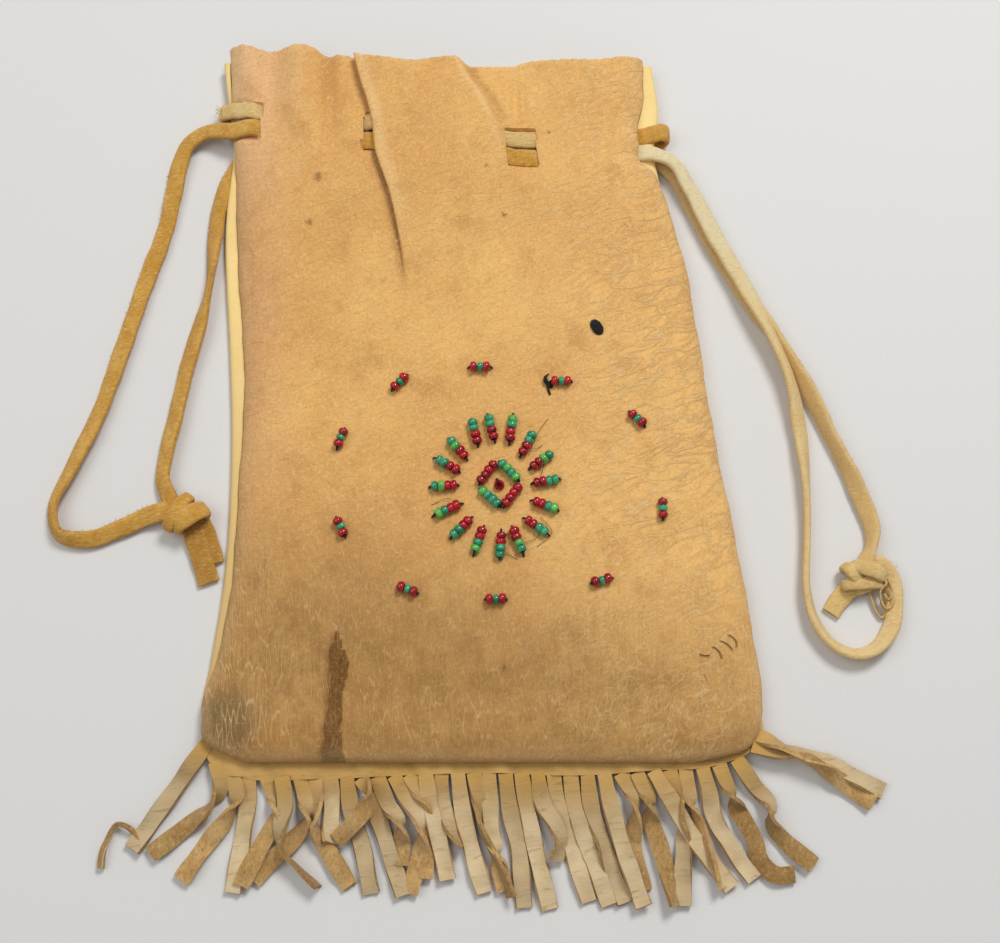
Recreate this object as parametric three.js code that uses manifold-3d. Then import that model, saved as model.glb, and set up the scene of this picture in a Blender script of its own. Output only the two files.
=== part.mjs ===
// Beaded drawstring pouch of buckskin, lying flat on its back.
//
// Two hide panels are sewn together along the sides and the bottom, and a strip of hide that is cut into a
// fringe is caught in the bottom seam. Two thongs are laced through slits near the mouth. Each one goes right
// round the pouch, leaves it at its own side and is tied to itself in a knot, so that pulling the two loops
// apart closes the mouth. Rows of glass seed beads are sewn on the front.
//
// Millimetres. +Z is up, the pouch lies on z = 0, the mouth points to +Y and the wearer's right is +X.
import * as THREE from "three";
import { mergeVertices } from "three/addons/utils/BufferGeometryUtils.js";
import Module from "manifold-3d";

const wasm = await Module();
wasm.setup();

// ---- driving dimensions -------------------------------------------------------------------------------

const LEATHER = 1.2; // thickness of the hide
const GAP = 0.3; // clearance kept between pieces that touch
const THONG = { width: 5.2, thickness: 1.2 };
const BEAD = { radius: 1.35, length: 1.65, neck: 0.5 };
const SLIT = { width: 2.4, length: 12.4 };

const BOTTOM = -84.3; // y of the bottom seam
const MOUTH = 118; // y of the mouth, before its waves
const ROLL = { reach: 7, height: 3.6 }; // the turned edge rises this far within this distance
const BELLY = 3.6; // how much the middle of the front stands above its turned edges
const MOUTH_LIFT = 1.9; // the thongs under the back hold the mouth this far off the table
const PLEAT = { height: 2.3, top: -24, lean: -0.27, halfWidth: 15.5, ramp: 9, foot: 45, full: 84 };
const LACING_ROW = { low: 89.5, rise: 7, centre: 12, span: 80 }; // the slits' middles lie on this parabola
const SLIT_X = [-67.5, -35.5, -28.5, 1.5, 13, 37]; // where the maker cut through both panels

const COLOURS = {
  front: 0xd9ab6a,
  back: 0xe3c07c,
  fringe: 0xdcbc84,
  ochreThong: 0xbe914b,
  paleThong: 0xd7b782,
  red: 0xaa1432,
  green: 0x3ca078,
};

// ---- small tools --------------------------------------------------------------------------------------

// A smooth curve through [where, value] pairs.
function through(pairs) {
  const where = pairs.map((pair) => pair[0]);
  const value = pairs.map((pair) => pair[1]);
  const spline = new THREE.CubicInterpolant(where, value, 1);
  return (at) => spline.evaluate(THREE.MathUtils.clamp(at, where[0], where.at(-1)))[0];
}

const { clamp, lerp, smoothstep } = THREE.MathUtils;

// Keeps only positions and joins shared corners, which closes a three.js primitive.
function closed(geometry) {
  const bare = geometry.clone();
  bare.deleteAttribute("normal");
  bare.deleteAttribute("uv");
  return mergeVertices(bare, 1e-4);
}

function solid(geometry) {
  const mesh = closed(geometry);
  return new wasm.Manifold(
    new wasm.Mesh({
      numProp: 3,
      vertProperties: new Float32Array(mesh.attributes.position.array),
      triVerts: new Uint32Array(mesh.index.array),
    }),
  );
}

function geometryOf(manifold) {
  const mesh = manifold.getMesh();
  const geometry = new THREE.BufferGeometry();
  geometry.setAttribute("position", new THREE.BufferAttribute(mesh.vertProperties, 3));
  geometry.setIndex(new THREE.BufferAttribute(mesh.triVerts, 1));
  return geometry;
}

const joined = (solids) => geometryOf(solids.reduce((whole, piece) => whole.add(piece)));

// A thin sheet: place(column, row, upper) says where each corner of its grid lies.
function sheet(columns, rows, place) {
  const grid = closed(new THREE.BoxGeometry(1, 1, 1, columns, rows, 1));
  const corners = grid.attributes.position;
  for (let i = 0; i < corners.count; i++) {
    const column = Math.round((corners.getX(i) + 0.5) * columns);
    const row = Math.round((corners.getY(i) + 0.5) * rows);
    const at = place(column, row, corners.getZ(i) > 0);
    corners.setXYZ(i, at.x, at.y, at.z);
  }
  return grid;
}

const UP = new THREE.Vector3(0, 0, 1);
const pouch = new THREE.Group();

function add(name, geometry, colour, roughness, metalness = 0) {
  const material = new THREE.MeshStandardMaterial({ color: colour, roughness, metalness });
  const mesh = new THREE.Mesh(geometry, material);
  mesh.name = name;
  pouch.add(mesh);
  return mesh;
}

// ---- the pouch's outline and surfaces -----------------------------------------------------------------

const frontLeft = through([
  [-84.3, -65], [-81, -73], [-72, -77], [-57.5, -74], [-41, -71.4],
  [0, -69.7], [43, -70.7], [86, -76], [102, -77.4], [121, -78],
]);
const frontRight = through([
  [-84.3, 54], [-81, 65], [-68, 70.4], [-41, 66.6], [-6, 61],
  [32, 56.8], [77, 49.1], [97, 42.8], [118, 42.5],
]);
const backLeft = through([
  [-84.3, -66], [-80.6, -73.6], [-72, -77.5], [-41, -73.5], [0, -72.6], [44, -75.9], [86, -79.5], [119, -80.4],
]);
const backRight = through([
  [-84.3, 55], [-80.6, 65.5], [-68, 70.2], [-41, 66], [-6, 60.5], [32, 56.5], [77, 50], [101, 46.8], [118, 45.8],
]);
// The mouth's cut edge, wavy where the hide is gathered.
const mouthLine = through([
  [-78, 121.3], [-70, 121.4], [-56, 121.2], [-40, 118], [-24, 117], [-8, 116], [15, 116.6], [42, 118.4],
]);

// The back panel lies flat, and its mouth rides on the thongs that pass under it.
const lift = (y) => MOUTH_LIFT * smoothstep(y, 56, 80);

// The front's edge rises over the fringe strip that is caught in the bottom seam.
const rim = (y) => lift(y) + LEATHER + GAP + (LEATHER + GAP) * (1 - smoothstep(y, -77, -66));

const pleatCentre = (y) => PLEAT.top + PLEAT.lean * (y - MOUTH);

function pleat(x, y) {
  const fromFold = PLEAT.halfWidth - Math.abs(x - pleatCentre(y));
  const across = smoothstep(fromFold, -PLEAT.ramp / 2, PLEAT.ramp / 2);
  return PLEAT.height * across * smoothstep(y, PLEAT.foot, PLEAT.full);
}

// Height of the front panel's outer face.
function front(x, y) {
  const left = frontLeft(y);
  const right = frontRight(y);
  const inFromEdge = clamp(Math.min(x - left, right - x, y - BOTTOM) / ROLL.reach, 0, 1);
  const roll = ROLL.height * Math.sqrt(1 - (1 - inFromEdge) ** 2);
  const across = clamp((2 * (x - left)) / (right - left) - 1, -1, 1);
  const belly = BELLY * (1 - across ** 2) * smoothstep(y, BOTTOM, BOTTOM + 45);
  return rim(y) + LEATHER + roll + belly + pleat(x, y);
}

const rowY = (x) => LACING_ROW.low + LACING_ROW.rise * ((x - LACING_ROW.centre) / LACING_ROW.span) ** 2;

// ---- panels -------------------------------------------------------------------------------------------

const EDGE_STEPS = [0, 0.8, 2.6, 5]; // insets of the first columns and rows, close together over the roll

function inset(index, count, low, high) {
  const near = EDGE_STEPS.length - 1;
  if (index <= near) return low + EDGE_STEPS[index];
  if (index >= count - near) return high - EDGE_STEPS[count - index];
  return lerp(low + EDGE_STEPS[near], high - EDGE_STEPS[near], (index - near) / (count - 2 * near));
}

function withSlits(panel) {
  const cutters = SLIT_X.map((x) => {
    const cutter = new THREE.BoxGeometry(SLIT.width, SLIT.length, 40);
    return solid(cutter.translate(x, rowY(x), 10));
  });
  return geometryOf(cutters.reduce((hide, cutter) => hide.subtract(cutter), solid(panel)));
}

function frontPanel() {
  const columns = 25;
  const rows = 24;
  const hide = sheet(columns, rows, (column, row, upper) => {
    const y = inset(row, rows, BOTTOM, MOUTH);
    const x = inset(column, columns, frontLeft(y), frontRight(y));
    const z = front(x, y) - (upper ? 0 : LEATHER);
    const wave = (mouthLine(x) - MOUTH) * smoothstep(y, 100, MOUTH);
    return { x, y: y + wave, z };
  });
  return withSlits(hide);
}

function backPanel() {
  const columns = 6;
  const rows = 24;
  const hide = sheet(columns, rows, (column, row, upper) => {
    const y = inset(row, rows, BOTTOM, MOUTH - 0.5);
    const x = lerp(backLeft(y), backRight(y), column / columns);
    return { x, y, z: lift(y) + (upper ? LEATHER : 0) };
  });
  return withSlits(hide);
}

add("front_panel", frontPanel(), COLOURS.front, 0.75);
add("back_panel", backPanel(), COLOURS.back, 0.8);

// ---- fringe -------------------------------------------------------------------------------------------

const HEADER = { left: -77, right: 70, top: -77.6 };
const STRIP = { width: 4.4, thickness: 1.1, steps: 4 };

// The line where the cuts between the strips begin.
const cutLine = through([
  [-77, -79], [-74, -85], [-66, -88.4], [-45, -89], [0, -87.4], [40, -86.6], [60, -84.6], [67, -81], [70, -77.8],
]);
// Each strip: [x where it starts, x and y of its tip, how far its middle bows to the right].
const STRIPS = [
  [-74, -94, -106, 3], [-72, -89, -107, 6], [-69.5, -81, -114, 5], [-65, -68, -116.5, 0],
  [-60, -65.5, -115, 5], [-56, -46, -115, -4], [-51, -62, -114, 8], [-46.5, -37, -115.5, -4],
  [-43.5, -43, -103, 0], [-39, -32, -117, -1], [-35, -41, -104, 6], [-31, -24, -110, 2],
  [-33, -23.5, -117, 0], [-27, -21, -117, 4], [-22.5, -19, -113, 1], [-18.5, -12.5, -114, -1],
  [-14, -8, -107, -2], [-9.5, -3, -117, -1], [-5.5, 3, -116.5, -2], [-1.5, 4.5, -118, -3],
  [2.5, 7.5, -120.5, -1], [6.5, 14, -121, -2], [10.5, 14, -110, 3], [15, 24.5, -119, -2],
  [19.5, 29, -120, -3], [24, 33.5, -119.5, -1], [29, 37.5, -120.5, -1], [33, 38.5, -116, 1],
  [37, 46.5, -120.5, 1], [41.5, 60.5, -115, -2], [45.5, 48.5, -120.5, 2], [49.5, 60, -117.5, -2],
  [54, 66.5, -113.5, -2], [58, 76, -112.5, -1], [62.5, 82, -109.5, 3], [66, 99.3, -90.5, 4], [68, 98.5, -94, 3],
];
const CURL = [[-72, -79], [-90, -95], [-97, -100.6], [-100, -104], [-100.5, -110]]; // a hair-thin paring

// Underside of the fringe: over the back panel's edge, then down on the table.
const fringeZ = (y) => (LEATHER + GAP) * smoothstep(y, -92, BOTTOM - GAP);

function header() {
  const columns = 24;
  const rows = 4;
  return sheet(columns, rows, (column, row, upper) => {
    const x = lerp(HEADER.left, HEADER.right, column / columns);
    const y = lerp(HEADER.top, cutLine(x), 1 - row / rows);
    return { x, y, z: fringeZ(y) + (upper ? LEATHER : 0) };
  });
}

function strip(points, width) {
  const path = new THREE.CatmullRomCurve3(points.map(([x, y]) => new THREE.Vector3(x, y, 0)));
  return sheet(1, STRIP.steps, (column, row, upper) => {
    const at = path.getPoint(row / STRIP.steps);
    const along = path.getTangent(row / STRIP.steps);
    const side = (0.5 - column) * width;
    const y = at.y + along.x * side;
    const rise = fringeZ(at.y) + 0.05;
    return { x: at.x - along.y * side, y, z: rise + (upper ? STRIP.thickness : 0) };
  });
}

function fringe() {
  const strips = STRIPS.map(([rootX, tipX, tipY, bow]) => {
    const rootY = cutLine(rootX) + 1.5;
    const middle = [(rootX + tipX) / 2 + bow, (rootY + tipY) / 2];
    return solid(strip([[rootX, rootY], middle, [tipX, tipY]], STRIP.width));
  });
  return joined([solid(header()), ...strips, solid(strip(CURL, 1.4))]);
}

add("fringe", fringe(), COLOURS.fringe, 0.85);

// ---- lacing -------------------------------------------------------------------------------------------

const CLEAR = 0.6; // from the hide to a thong that lies along it
const LACED = { left: -81.6, right: 49.4 }; // where the thongs leave the pouch at its sides
const UPPER_END = 4.7; // z of a thong that leaves over the back panel's edge
const UNDER_BACK = 0.1 + THONG.thickness / 2;
const OVER_BACK = MOUTH_LIFT + LEATHER + CLEAR + THONG.thickness / 2;
const ROW = THONG.width / 2 + 0.25; // each thong keeps this far to its own side of the slits' middle
const CROSS = 1.6; // how far one thong bows clear of the other where they change rows

// The thongs change rows inside the pouch: along the front near its right side, along the back near its left.
const changed = (x, from) => smoothstep(x, from, from + CROSSING);
const stepAside = (x, from) =>
  CROSS * smoothstep(x, from - 4, from) * (1 - smoothstep(x, from + CROSSING, from + CROSSING + 4));
const CROSSING = 12; // length of that stretch
const FRONT_CROSSING = 19;
const BACK_CROSSING = -60;

const evenly = (from, to, step) => {
  const count = Math.max(1, Math.round(Math.abs(to - from) / step));
  return Array.from({ length: count + 1 }, (_, i) => lerp(from, to, i / count));
};

// Middle line of a thong laced along the front, from the left side to the right. own is 1 for the right
// drawstring, which starts in the upper row, and -1 for the left one.
function frontWeave(own) {
  const row = (x) => rowY(x) + own * ROW * (1 - 2 * changed(x, FRONT_CROSSING));
  const heights = (x) => [-5.4, -2.7, 0, 2.7, 5.4].map((dy) => front(x, rowY(x) + dy));
  const outside = (x) => [x, row(x), Math.max(...heights(x)) + CLEAR + THONG.thickness / 2];
  const below = (x) => Math.min(...heights(x)) - LEATHER - CLEAR - THONG.thickness / 2;
  const inside = (x) => [x, row(x), below(x) - (own > 0 ? stepAside(x, FRONT_CROSSING) : 0)];
  const [a, b, c, d, e, f] = SLIT_X;
  return [
    [LACED.left, row(LACED.left), UPPER_END],
    ...evenly(a - 7, a, 4).map(outside),
    ...evenly(a, b, 6).map(inside),
    ...evenly(b, c, 6).map(outside),
    ...evenly(c, d, 6).map(inside),
    ...evenly(d, e, 6).map(outside),
    ...evenly(e, f, 4).map(inside),
    outside(f),
    [43.6, row(43.6), outside(f)[2] - 1],
    [LACED.right, row(LACED.right), UPPER_END],
  ];
}

// The same along the back. Its slits are cut through both panels at once.
function backWeave(own) {
  const row = (x) => rowY(x) + own * ROW * (1 - 2 * changed(x, BACK_CROSSING));
  const under = (x) => [x, row(x), UNDER_BACK];
  const over = (x) => [x, row(x), OVER_BACK + (own > 0 ? stepAside(x, BACK_CROSSING) : 0)];
  const [a, b, c, d, e, f] = SLIT_X;
  return [
    under(LACED.left), under(a), ...evenly(a, b, 4).map(over), under(b), under(c),
    ...evenly(c, d, 20).map(over), under(d), under(e), ...evenly(e, f, 8).map(over), under(f), under(LACED.right),
  ];
}

// A thong along a line, flat side to the hide, mitred where it turns through a slit.
function laced(line) {
  const at = line.map(([x, , z]) => new THREE.Vector2(x, z));
  const heading = at.slice(1).map((point, i) => point.clone().sub(at[i]).normalize());
  return sheet(1, line.length - 1, (column, row, upper) => {
    const came = heading[Math.max(row - 1, 0)];
    const goes = heading[Math.min(row, heading.length - 1)];
    const mitre = came.clone().add(goes).normalize();
    const half = ((upper ? 1 : -1) * THONG.thickness) / 2 / mitre.dot(came);
    const y = line[row][1] + (0.5 - column) * THONG.width;
    return { x: at[row].x - mitre.y * half, y, z: at[row].y + mitre.x * half };
  });
}

const turn = (x, y) => [[x, y, UPPER_END - 0.7], [x, y, UNDER_BACK + 0.7]];

function leftLacing() {
  const around = turn(LACED.right + 1.6, rowY(LACED.right) + ROW);
  return laced([...frontWeave(-1), ...around, ...backWeave(-1).reverse()]);
}

function rightLacing() {
  const around = turn(LACED.left - 1.2, rowY(LACED.left) + ROW);
  return laced([...frontWeave(1).reverse(), ...around, ...backWeave(1)]);
}

add("drawstring_left_lacing", leftLacing(), COLOURS.ochreThong, 0.9);
add("drawstring_right_lacing", rightLacing(), COLOURS.paleThong, 0.85);

// ---- the drawstrings' free legs -----------------------------------------------------------------------

const ON_TABLE = 0.1 + THONG.thickness / 2;
const ON_THONG = ON_TABLE + THONG.thickness + 0.35; // where one leg lies on the other

// Each leg runs from the pouch's side to the knot, by points chosen along it.
const LEGS = {
  drawstring_left_front_leg: [
    [-82.2, 93.2, 4.4], [-86.2, 93.4, 3.2], [-89.9, 90.4, 1.4], [-91.8, 81, ON_TABLE], [-94.3, 65.9, ON_TABLE],
    [-100.2, 44.7, ON_TABLE], [-106, 23.9, ON_TABLE], [-111.8, 6.5, ON_TABLE], [-117.7, -7.8, ON_TABLE],
    [-120.6, -17.7, ON_TABLE], [-117.4, -24.2, ON_TABLE], [-109.8, -24.6, ON_TABLE], [-101, -20.8, ON_TABLE],
    [-92.6, -17.6, 2],
  ],
  drawstring_left_back_leg: [
    [-82.2, 93.2, ON_TABLE], [-84, 88, ON_TABLE], [-83.5, 80, ON_TABLE], [-81.7, 65.9, ON_TABLE],
    [-83, 47.7, ON_TABLE], [-85.9, 29.8, ON_TABLE], [-89, 9.4, ON_TABLE], [-90.6, -2, ON_TABLE],
    [-88.9, -10.2, 2],
  ],
  drawstring_right_front_leg: [
    [50.6, 88.2, 4.4], [53.4, 87.8, 4], [56.8, 82.6, 3.2], [60.6, 74, ON_THONG], [66.2, 62.9, ON_THONG],
    [72, 49.7, ON_THONG], [76.8, 37.2, ON_THONG], [81.2, 24, ON_THONG], [83.2, 12, ON_THONG], [84.2, -1, ON_TABLE],
    [84.3, -13.5, ON_TABLE], [82.1, -30.2, ON_TABLE], [82.4, -41.1, ON_TABLE], [86.4, -51.9, ON_TABLE],
    [94.2, -56.7, ON_TABLE], [102.3, -53.2, ON_TABLE], [107.9, -44.6, ON_TABLE], [107.6, -38.6, 1.2], [106, -36, 2],
  ],
  drawstring_right_back_leg: [
    [50.6, 88.2, ON_TABLE], [53.4, 87.4, ON_TABLE], [57.4, 75.6, ON_TABLE], [62.5, 62.4, ON_TABLE], [69, 49.7, ON_TABLE],
    [78.1, 33.8, ON_TABLE], [86, 20.9, ON_TABLE], [92, 3.6, ON_TABLE], [98.1, -10.7, ON_TABLE],
    [100.8, -19, ON_TABLE], [100.2, -28, 2],
  ],
};

// The thong's section: flat, with its four corners worn off.
function thongSection() {
  const corner = 0.4;
  const w = THONG.width / 2;
  const t = THONG.thickness / 2;
  const outline = [
    [w, t - corner], [w - corner, t], [corner - w, t], [-w, t - corner],
    [-w, corner - t], [corner - w, -t], [w - corner, -t], [w, corner - t],
  ];
  return new THREE.Shape(outline.map((corners) => new THREE.Vector2(...corners)));
}

// Keeps the flat side of what is swept along a path facing up.
function level(path) {
  path.computeFrenetFrames = (steps) => {
    const tangents = Array.from({ length: steps + 1 }, (_, i) => path.getTangentAt(i / steps));
    const normals = tangents.map((tangent) => tangent.clone().cross(UP).normalize());
    const binormals = tangents.map((tangent, i) => tangent.clone().cross(normals[i]));
    return { tangents, normals, binormals };
  };
  return path;
}

function leg(points) {
  const route = points.map((point) => new THREE.Vector3(...point));
  const path = level(new THREE.CatmullRomCurve3(route, false, "centripetal"));
  const steps = Math.round(path.getLength() / 7);
  return new THREE.ExtrudeGeometry(thongSection(), { steps, extrudePath: path, bevelEnabled: false });
}

for (const [name, points] of Object.entries(LEGS)) {
  const colour = name.includes("left") ? COLOURS.ochreThong : COLOURS.paleThong;
  add(name, leg(points), colour, 0.9);
}

// ---- knots --------------------------------------------------------------------------------------------

// An overhand knot pulled tight in both legs, with the thong's cut ends standing out as tails.
function knot(centre, turnZ, tails) {
  const body = new THREE.SphereGeometry(1, 12, 8).scale(6, 4.6, 4.2);
  const wrap = new THREE.TorusGeometry(3.9, 1.4, 6, 14).rotateY(Math.PI / 2).scale(1, 1, 0.8).rotateZ(0.35);
  const shift = (geometry) => solid(geometry.rotateZ(turnZ).translate(...centre, 4.4));
  const ends = tails.map(([tip, width]) => {
    const from = new THREE.Vector2(...centre);
    const reach = new THREE.Vector2(...tip).sub(from);
    const tail = new THREE.BoxGeometry(reach.length(), width, THONG.thickness, 3, 1, 1);
    tail.translate(reach.length() / 2, 0, 0).rotateZ(reach.angle());
    return solid(tail.translate(...centre, ON_TABLE + 0.6));
  });
  return joined([shift(body), shift(wrap), ...ends]);
}

const LEFT_TAILS = [[[-80.5, -36], 5.6], [[-77, -31.5], 4]];
const RIGHT_TAILS = [[[89.6, -44.2], 5.6], [[102, -44], 2.4]];
add("drawstring_left_knot", knot([-85.6, -16.2], -0.35, LEFT_TAILS), COLOURS.ochreThong, 0.9);
add("drawstring_right_knot", knot([98.6, -34.4], 0.25, RIGHT_TAILS), COLOURS.paleThong, 0.85);

// ---- beads --------------------------------------------------------------------------------------------

// A stitch of beads on their thread, lying on the front between two points on it.
function beadRow(name, count, from, to, colour) {
  const { radius, length, neck } = BEAD;
  const profile = [new THREE.Vector2(0, 0), new THREE.Vector2(neck, 0)];
  for (let i = 0; i < count; i++) {
    const start = i * length;
    profile.push(new THREE.Vector2(radius, start + 0.35), new THREE.Vector2(radius, start + length - 0.35));
    profile.push(new THREE.Vector2(neck, start + length));
  }
  profile.push(new THREE.Vector2(0, count * length));
  const row = new THREE.LatheGeometry(profile, 6).translate(0, (-count * length) / 2, 0);
  const clear = (at) => front(...at) + GAP + radius;
  const start = new THREE.Vector3(...from, clear(from));
  const end = new THREE.Vector3(...to, clear(to));
  const bead = add(name, closed(row), colour, 0.2);
  bead.position.copy(start).add(end).multiplyScalar(0.5);
  bead.quaternion.setFromUnitVectors(new THREE.Vector3(0, 1, 0), end.sub(start).normalize());
}

// Sixteen petals, clockwise from the one left of the mouth side: [outer end, inner end].
const PETALS = [
  [[-6.4, 6.4], [-5, 0.5]], [[-2, 7.6], [-0.4, 1.4]], [[4.6, 7.4], [3.8, 1]], [[10.2, 3], [7, -2.8]],
  [[14.8, -2.9], [9.8, -6.4]], [[16.4, -9.8], [10.7, -10.8]], [[16.2, -18], [10.4, -15.9]],
  [[13.6, -24.6], [8, -20.8]], [[7.2, -30], [4.6, -23.2]], [[1.1, -31.4], [1.5, -24.4]],
  [[-5.6, -29.8], [-3.2, -23]], [[-11.7, -25.8], [-6.6, -20.6]], [[-15.9, -19.6], [-9.6, -16.8]],
  [[-17.3, -11.9], [-10.2, -11.4]], [[-15.8, -4.2], [-10.1, -7.4]], [[-12.6, 1.5], [-7.8, -4.1]],
];
PETALS.forEach(([outer, inner], i) => {
  beadRow(`petal_${String(i + 1).padStart(2, "0")}`, 4, outer, inner, COLOURS.green);
});

// The diamond in the middle: two red sides and two green ones, round one bead.
const DIAMOND = { left: [-4.9, -11.8], top: [0.4, -4.2], right: [6.9, -10.8], bottom: [1.9, -18] };
const sideOf = (start, end, share) => [start, end].map((_, i) => {
  const t = i === 0 ? share : 1 - share;
  return [lerp(start[0], end[0], t), lerp(start[1], end[1], t)];
});
beadRow("diamond_side_1", 4, ...sideOf(DIAMOND.left, DIAMOND.top, 0.1), COLOURS.red);
beadRow("diamond_side_2", 4, ...sideOf(DIAMOND.top, DIAMOND.right, 0.1), COLOURS.green);
beadRow("diamond_side_3", 4, ...sideOf(DIAMOND.right, DIAMOND.bottom, 0.1), COLOURS.red);
beadRow("diamond_side_4", 4, ...sideOf(DIAMOND.bottom, DIAMOND.left, 0.1), COLOURS.green);
beadRow("centre_bead", 1, [0.4, -11.4], [1.6, -11.4], COLOURS.red);

// Ten rows of three beads round the rosette: [middle, heading in degrees].
const TRIPLES = [
  [[-26.2, 17.6], 45], [[-4.3, 21.8], 0], [[17.9, 17.9], 0], [[38.5, 7.6], -45], [[44.7, -17.6], 90],
  [[28, -37.3], 15], [[0.1, -42.4], 0], [[-23.2, -39.7], -20], [[-41.3, -22.6], -65], [[-41.9, 2.2], 70],
];
TRIPLES.forEach(([[x, y], heading], i) => {
  const angle = THREE.MathUtils.degToRad(heading);
  const half = [1.5 * BEAD.length * Math.cos(angle), 1.5 * BEAD.length * Math.sin(angle)];
  const name = `triple_${String(i + 1).padStart(2, "0")}`;
  beadRow(name, 3, [x - half[0], y - half[1]], [x + half[0], y + half[1]], COLOURS.red);
});

export default pouch;
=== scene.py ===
# Beaded drawstring pouch of buckskin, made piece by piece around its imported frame.
# Sizes are in millimetres and turn into metres where a mesh is placed.
import math

import bpy
import numpy as np
from mathutils import Matrix, Vector


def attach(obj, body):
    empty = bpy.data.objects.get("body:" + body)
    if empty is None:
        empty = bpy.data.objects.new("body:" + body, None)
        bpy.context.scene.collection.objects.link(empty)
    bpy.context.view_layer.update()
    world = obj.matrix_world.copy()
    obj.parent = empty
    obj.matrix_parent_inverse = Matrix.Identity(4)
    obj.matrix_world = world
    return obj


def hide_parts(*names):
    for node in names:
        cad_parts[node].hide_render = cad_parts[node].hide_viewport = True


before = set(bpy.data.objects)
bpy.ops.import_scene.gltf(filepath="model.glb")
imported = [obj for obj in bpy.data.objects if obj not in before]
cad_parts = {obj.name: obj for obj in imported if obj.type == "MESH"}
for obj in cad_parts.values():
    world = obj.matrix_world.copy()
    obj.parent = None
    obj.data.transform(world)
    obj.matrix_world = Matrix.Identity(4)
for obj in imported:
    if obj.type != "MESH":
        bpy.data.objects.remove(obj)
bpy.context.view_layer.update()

bpy.ops.object.select_all(action="DESELECT")


# ---- table, light and camera ---------------------------------------------------------------------------
# The pouch lies on a pale table under soft studio lamps. The strongest lamp stands beyond the mouth and to
# the right, and the camera looks down steeply from the fringe side.

MM = 0.001
TABLE_SIZE = 9000
TABLE_GAP = 0.2  # keeps the table's top clear of the lowest pieces


def tone(red, green, blue):
    """A colour from its 0 to 255 values on a screen."""
    parts = [value / 255 for value in (red, green, blue)]
    return (*[p / 12.92 if p < 0.04045 else ((p + 0.055) / 1.055) ** 2.4 for p in parts], 1)


class Wire:
    """A changing value in a finish. Arithmetic on wires adds the Math nodes for it."""

    def __init__(self, finish, socket):
        self.finish = finish
        self.socket = socket

    def math(self, operation, *others):
        inputs = dict(enumerate((self, *others)))
        return self.finish.node("Math", {"operation": operation}, inputs)

    def __add__(self, other):
        return self.math("ADD", other)

    def __mul__(self, other):
        return self.math("MULTIPLY", other)

    def __sub__(self, other):
        return self.math("SUBTRACT", other)

    def __rsub__(self, other):
        return (self * -1.0) + other

    def __pow__(self, other):
        return self.math("POWER", other)

    __radd__ = __add__
    __rmul__ = __mul__

    def between(self, low, high):
        """0 at low, 1 at high, eased, whichever of the two is larger."""
        inputs = {"Value": self, "From Min": low, "From Max": high}
        return self.finish.node("MapRange", {"interpolation_type": "SMOOTHSTEP"}, inputs)


class Finish:
    """The look of one material, written as expressions on wires."""

    def __init__(self, name, constants):
        self.material = bpy.data.materials.new(name)
        self.material.use_nodes = True
        self.tree = self.material.node_tree
        self.shader = self.tree.nodes["Principled BSDF"]
        for socket, value in constants.items():
            self.shader.inputs[socket].default_value = value

    def node(self, kind, settings, inputs, output=0):
        node = self.tree.nodes.new("ShaderNode" + kind)
        for key, value in settings.items():
            setattr(node, key, value)
        for key, value in inputs.items():
            if isinstance(value, Wire):
                self.tree.links.new(value.socket, node.inputs[key])
            else:
                node.inputs[key].default_value = value
        return Wire(self, node.outputs[output])

    def cells(self, size, turn=0, tilt=0.0):
        """Object coordinates counted in cells of a size in millimetres, turned about Z by degrees."""
        place = self.node("TexCoord", {}, {}, "Object")
        settings = {"vector_type": "TEXTURE"}
        across = [length * MM for length in size]
        inputs = {"Vector": place, "Scale": across, "Rotation": (tilt, tilt, math.radians(turn))}
        return self.node("Mapping", settings, inputs)

    def along(self, axis):
        """Millimetres along X, Y or Z, given as 0, 1 or 2."""
        return self.node("SeparateXYZ", {}, {0: self.cells((1, 1, 1))}, axis)

    def noise(self, size, detail=2.0, turn=0, rough=0.5, warp=0.0):
        place = self.cells(size, turn)
        inputs = {"Vector": place, "Scale": 1.0, "Detail": detail, "Roughness": rough, "Distortion": warp}
        return self.node("TexNoise", {}, inputs)

    def walls(self, size, turn, warp):
        """Distance to the wandering walls between flat cells. The tilt carries them down a sheet's sides."""
        place = self.cells(size, turn, 0.4)
        drift = {"Vector": place, "Scale": 0.8, "Detail": 1.0}
        sway = self.node("TexNoise", {"noise_dimensions": "2D"}, drift, "Color")
        moved = {0: sway, 1: (warp, warp, warp), 2: place}
        inputs = {"Vector": self.node("VectorMath", {"operation": "MULTIPLY_ADD"}, moved), "Scale": 1.0}
        settings = {"feature": "DISTANCE_TO_EDGE", "voronoi_dimensions": "2D"}
        return self.node("TexVoronoi", settings, inputs, "Distance")

    def mark(self, name):
        """A value that the piece carries at its corners."""
        return self.node("Attribute", {"attribute_name": name}, {}, "Fac")

    def mix(self, factor, first, second):
        """The first colour at 0, the second at 1."""
        return self.node("Mix", {"data_type": "RGBA"}, {0: factor, 6: first, 7: second}, 2)

    def coats(self, colour, *coats):
        """A colour with others laid over it in turn. Each coat is how far it covers, and its colour."""
        for cover, over in coats:
            colour = self.mix(cover, colour, over)
        return colour

    def give(self, socket, wire):
        self.tree.links.new(wire.socket, self.shader.inputs[socket])

    def relief(self, height):
        """Bump from a height in millimetres."""
        self.give("Normal", self.node("Bump", {}, {"Height": height, "Distance": MM}))


table_finish = Finish("table_finish", {"Base Color": tone(226, 224, 220), "Roughness": 0.62})
table_finish.relief(table_finish.noise((0.7, 0.7, 0.7)) * 0.04)

bpy.ops.mesh.primitive_plane_add(size=TABLE_SIZE * MM, location=(0, 0, -TABLE_GAP * MM))
table = bpy.context.object
table.name = "table"
table.data.materials.append(table_finish.material)


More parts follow.
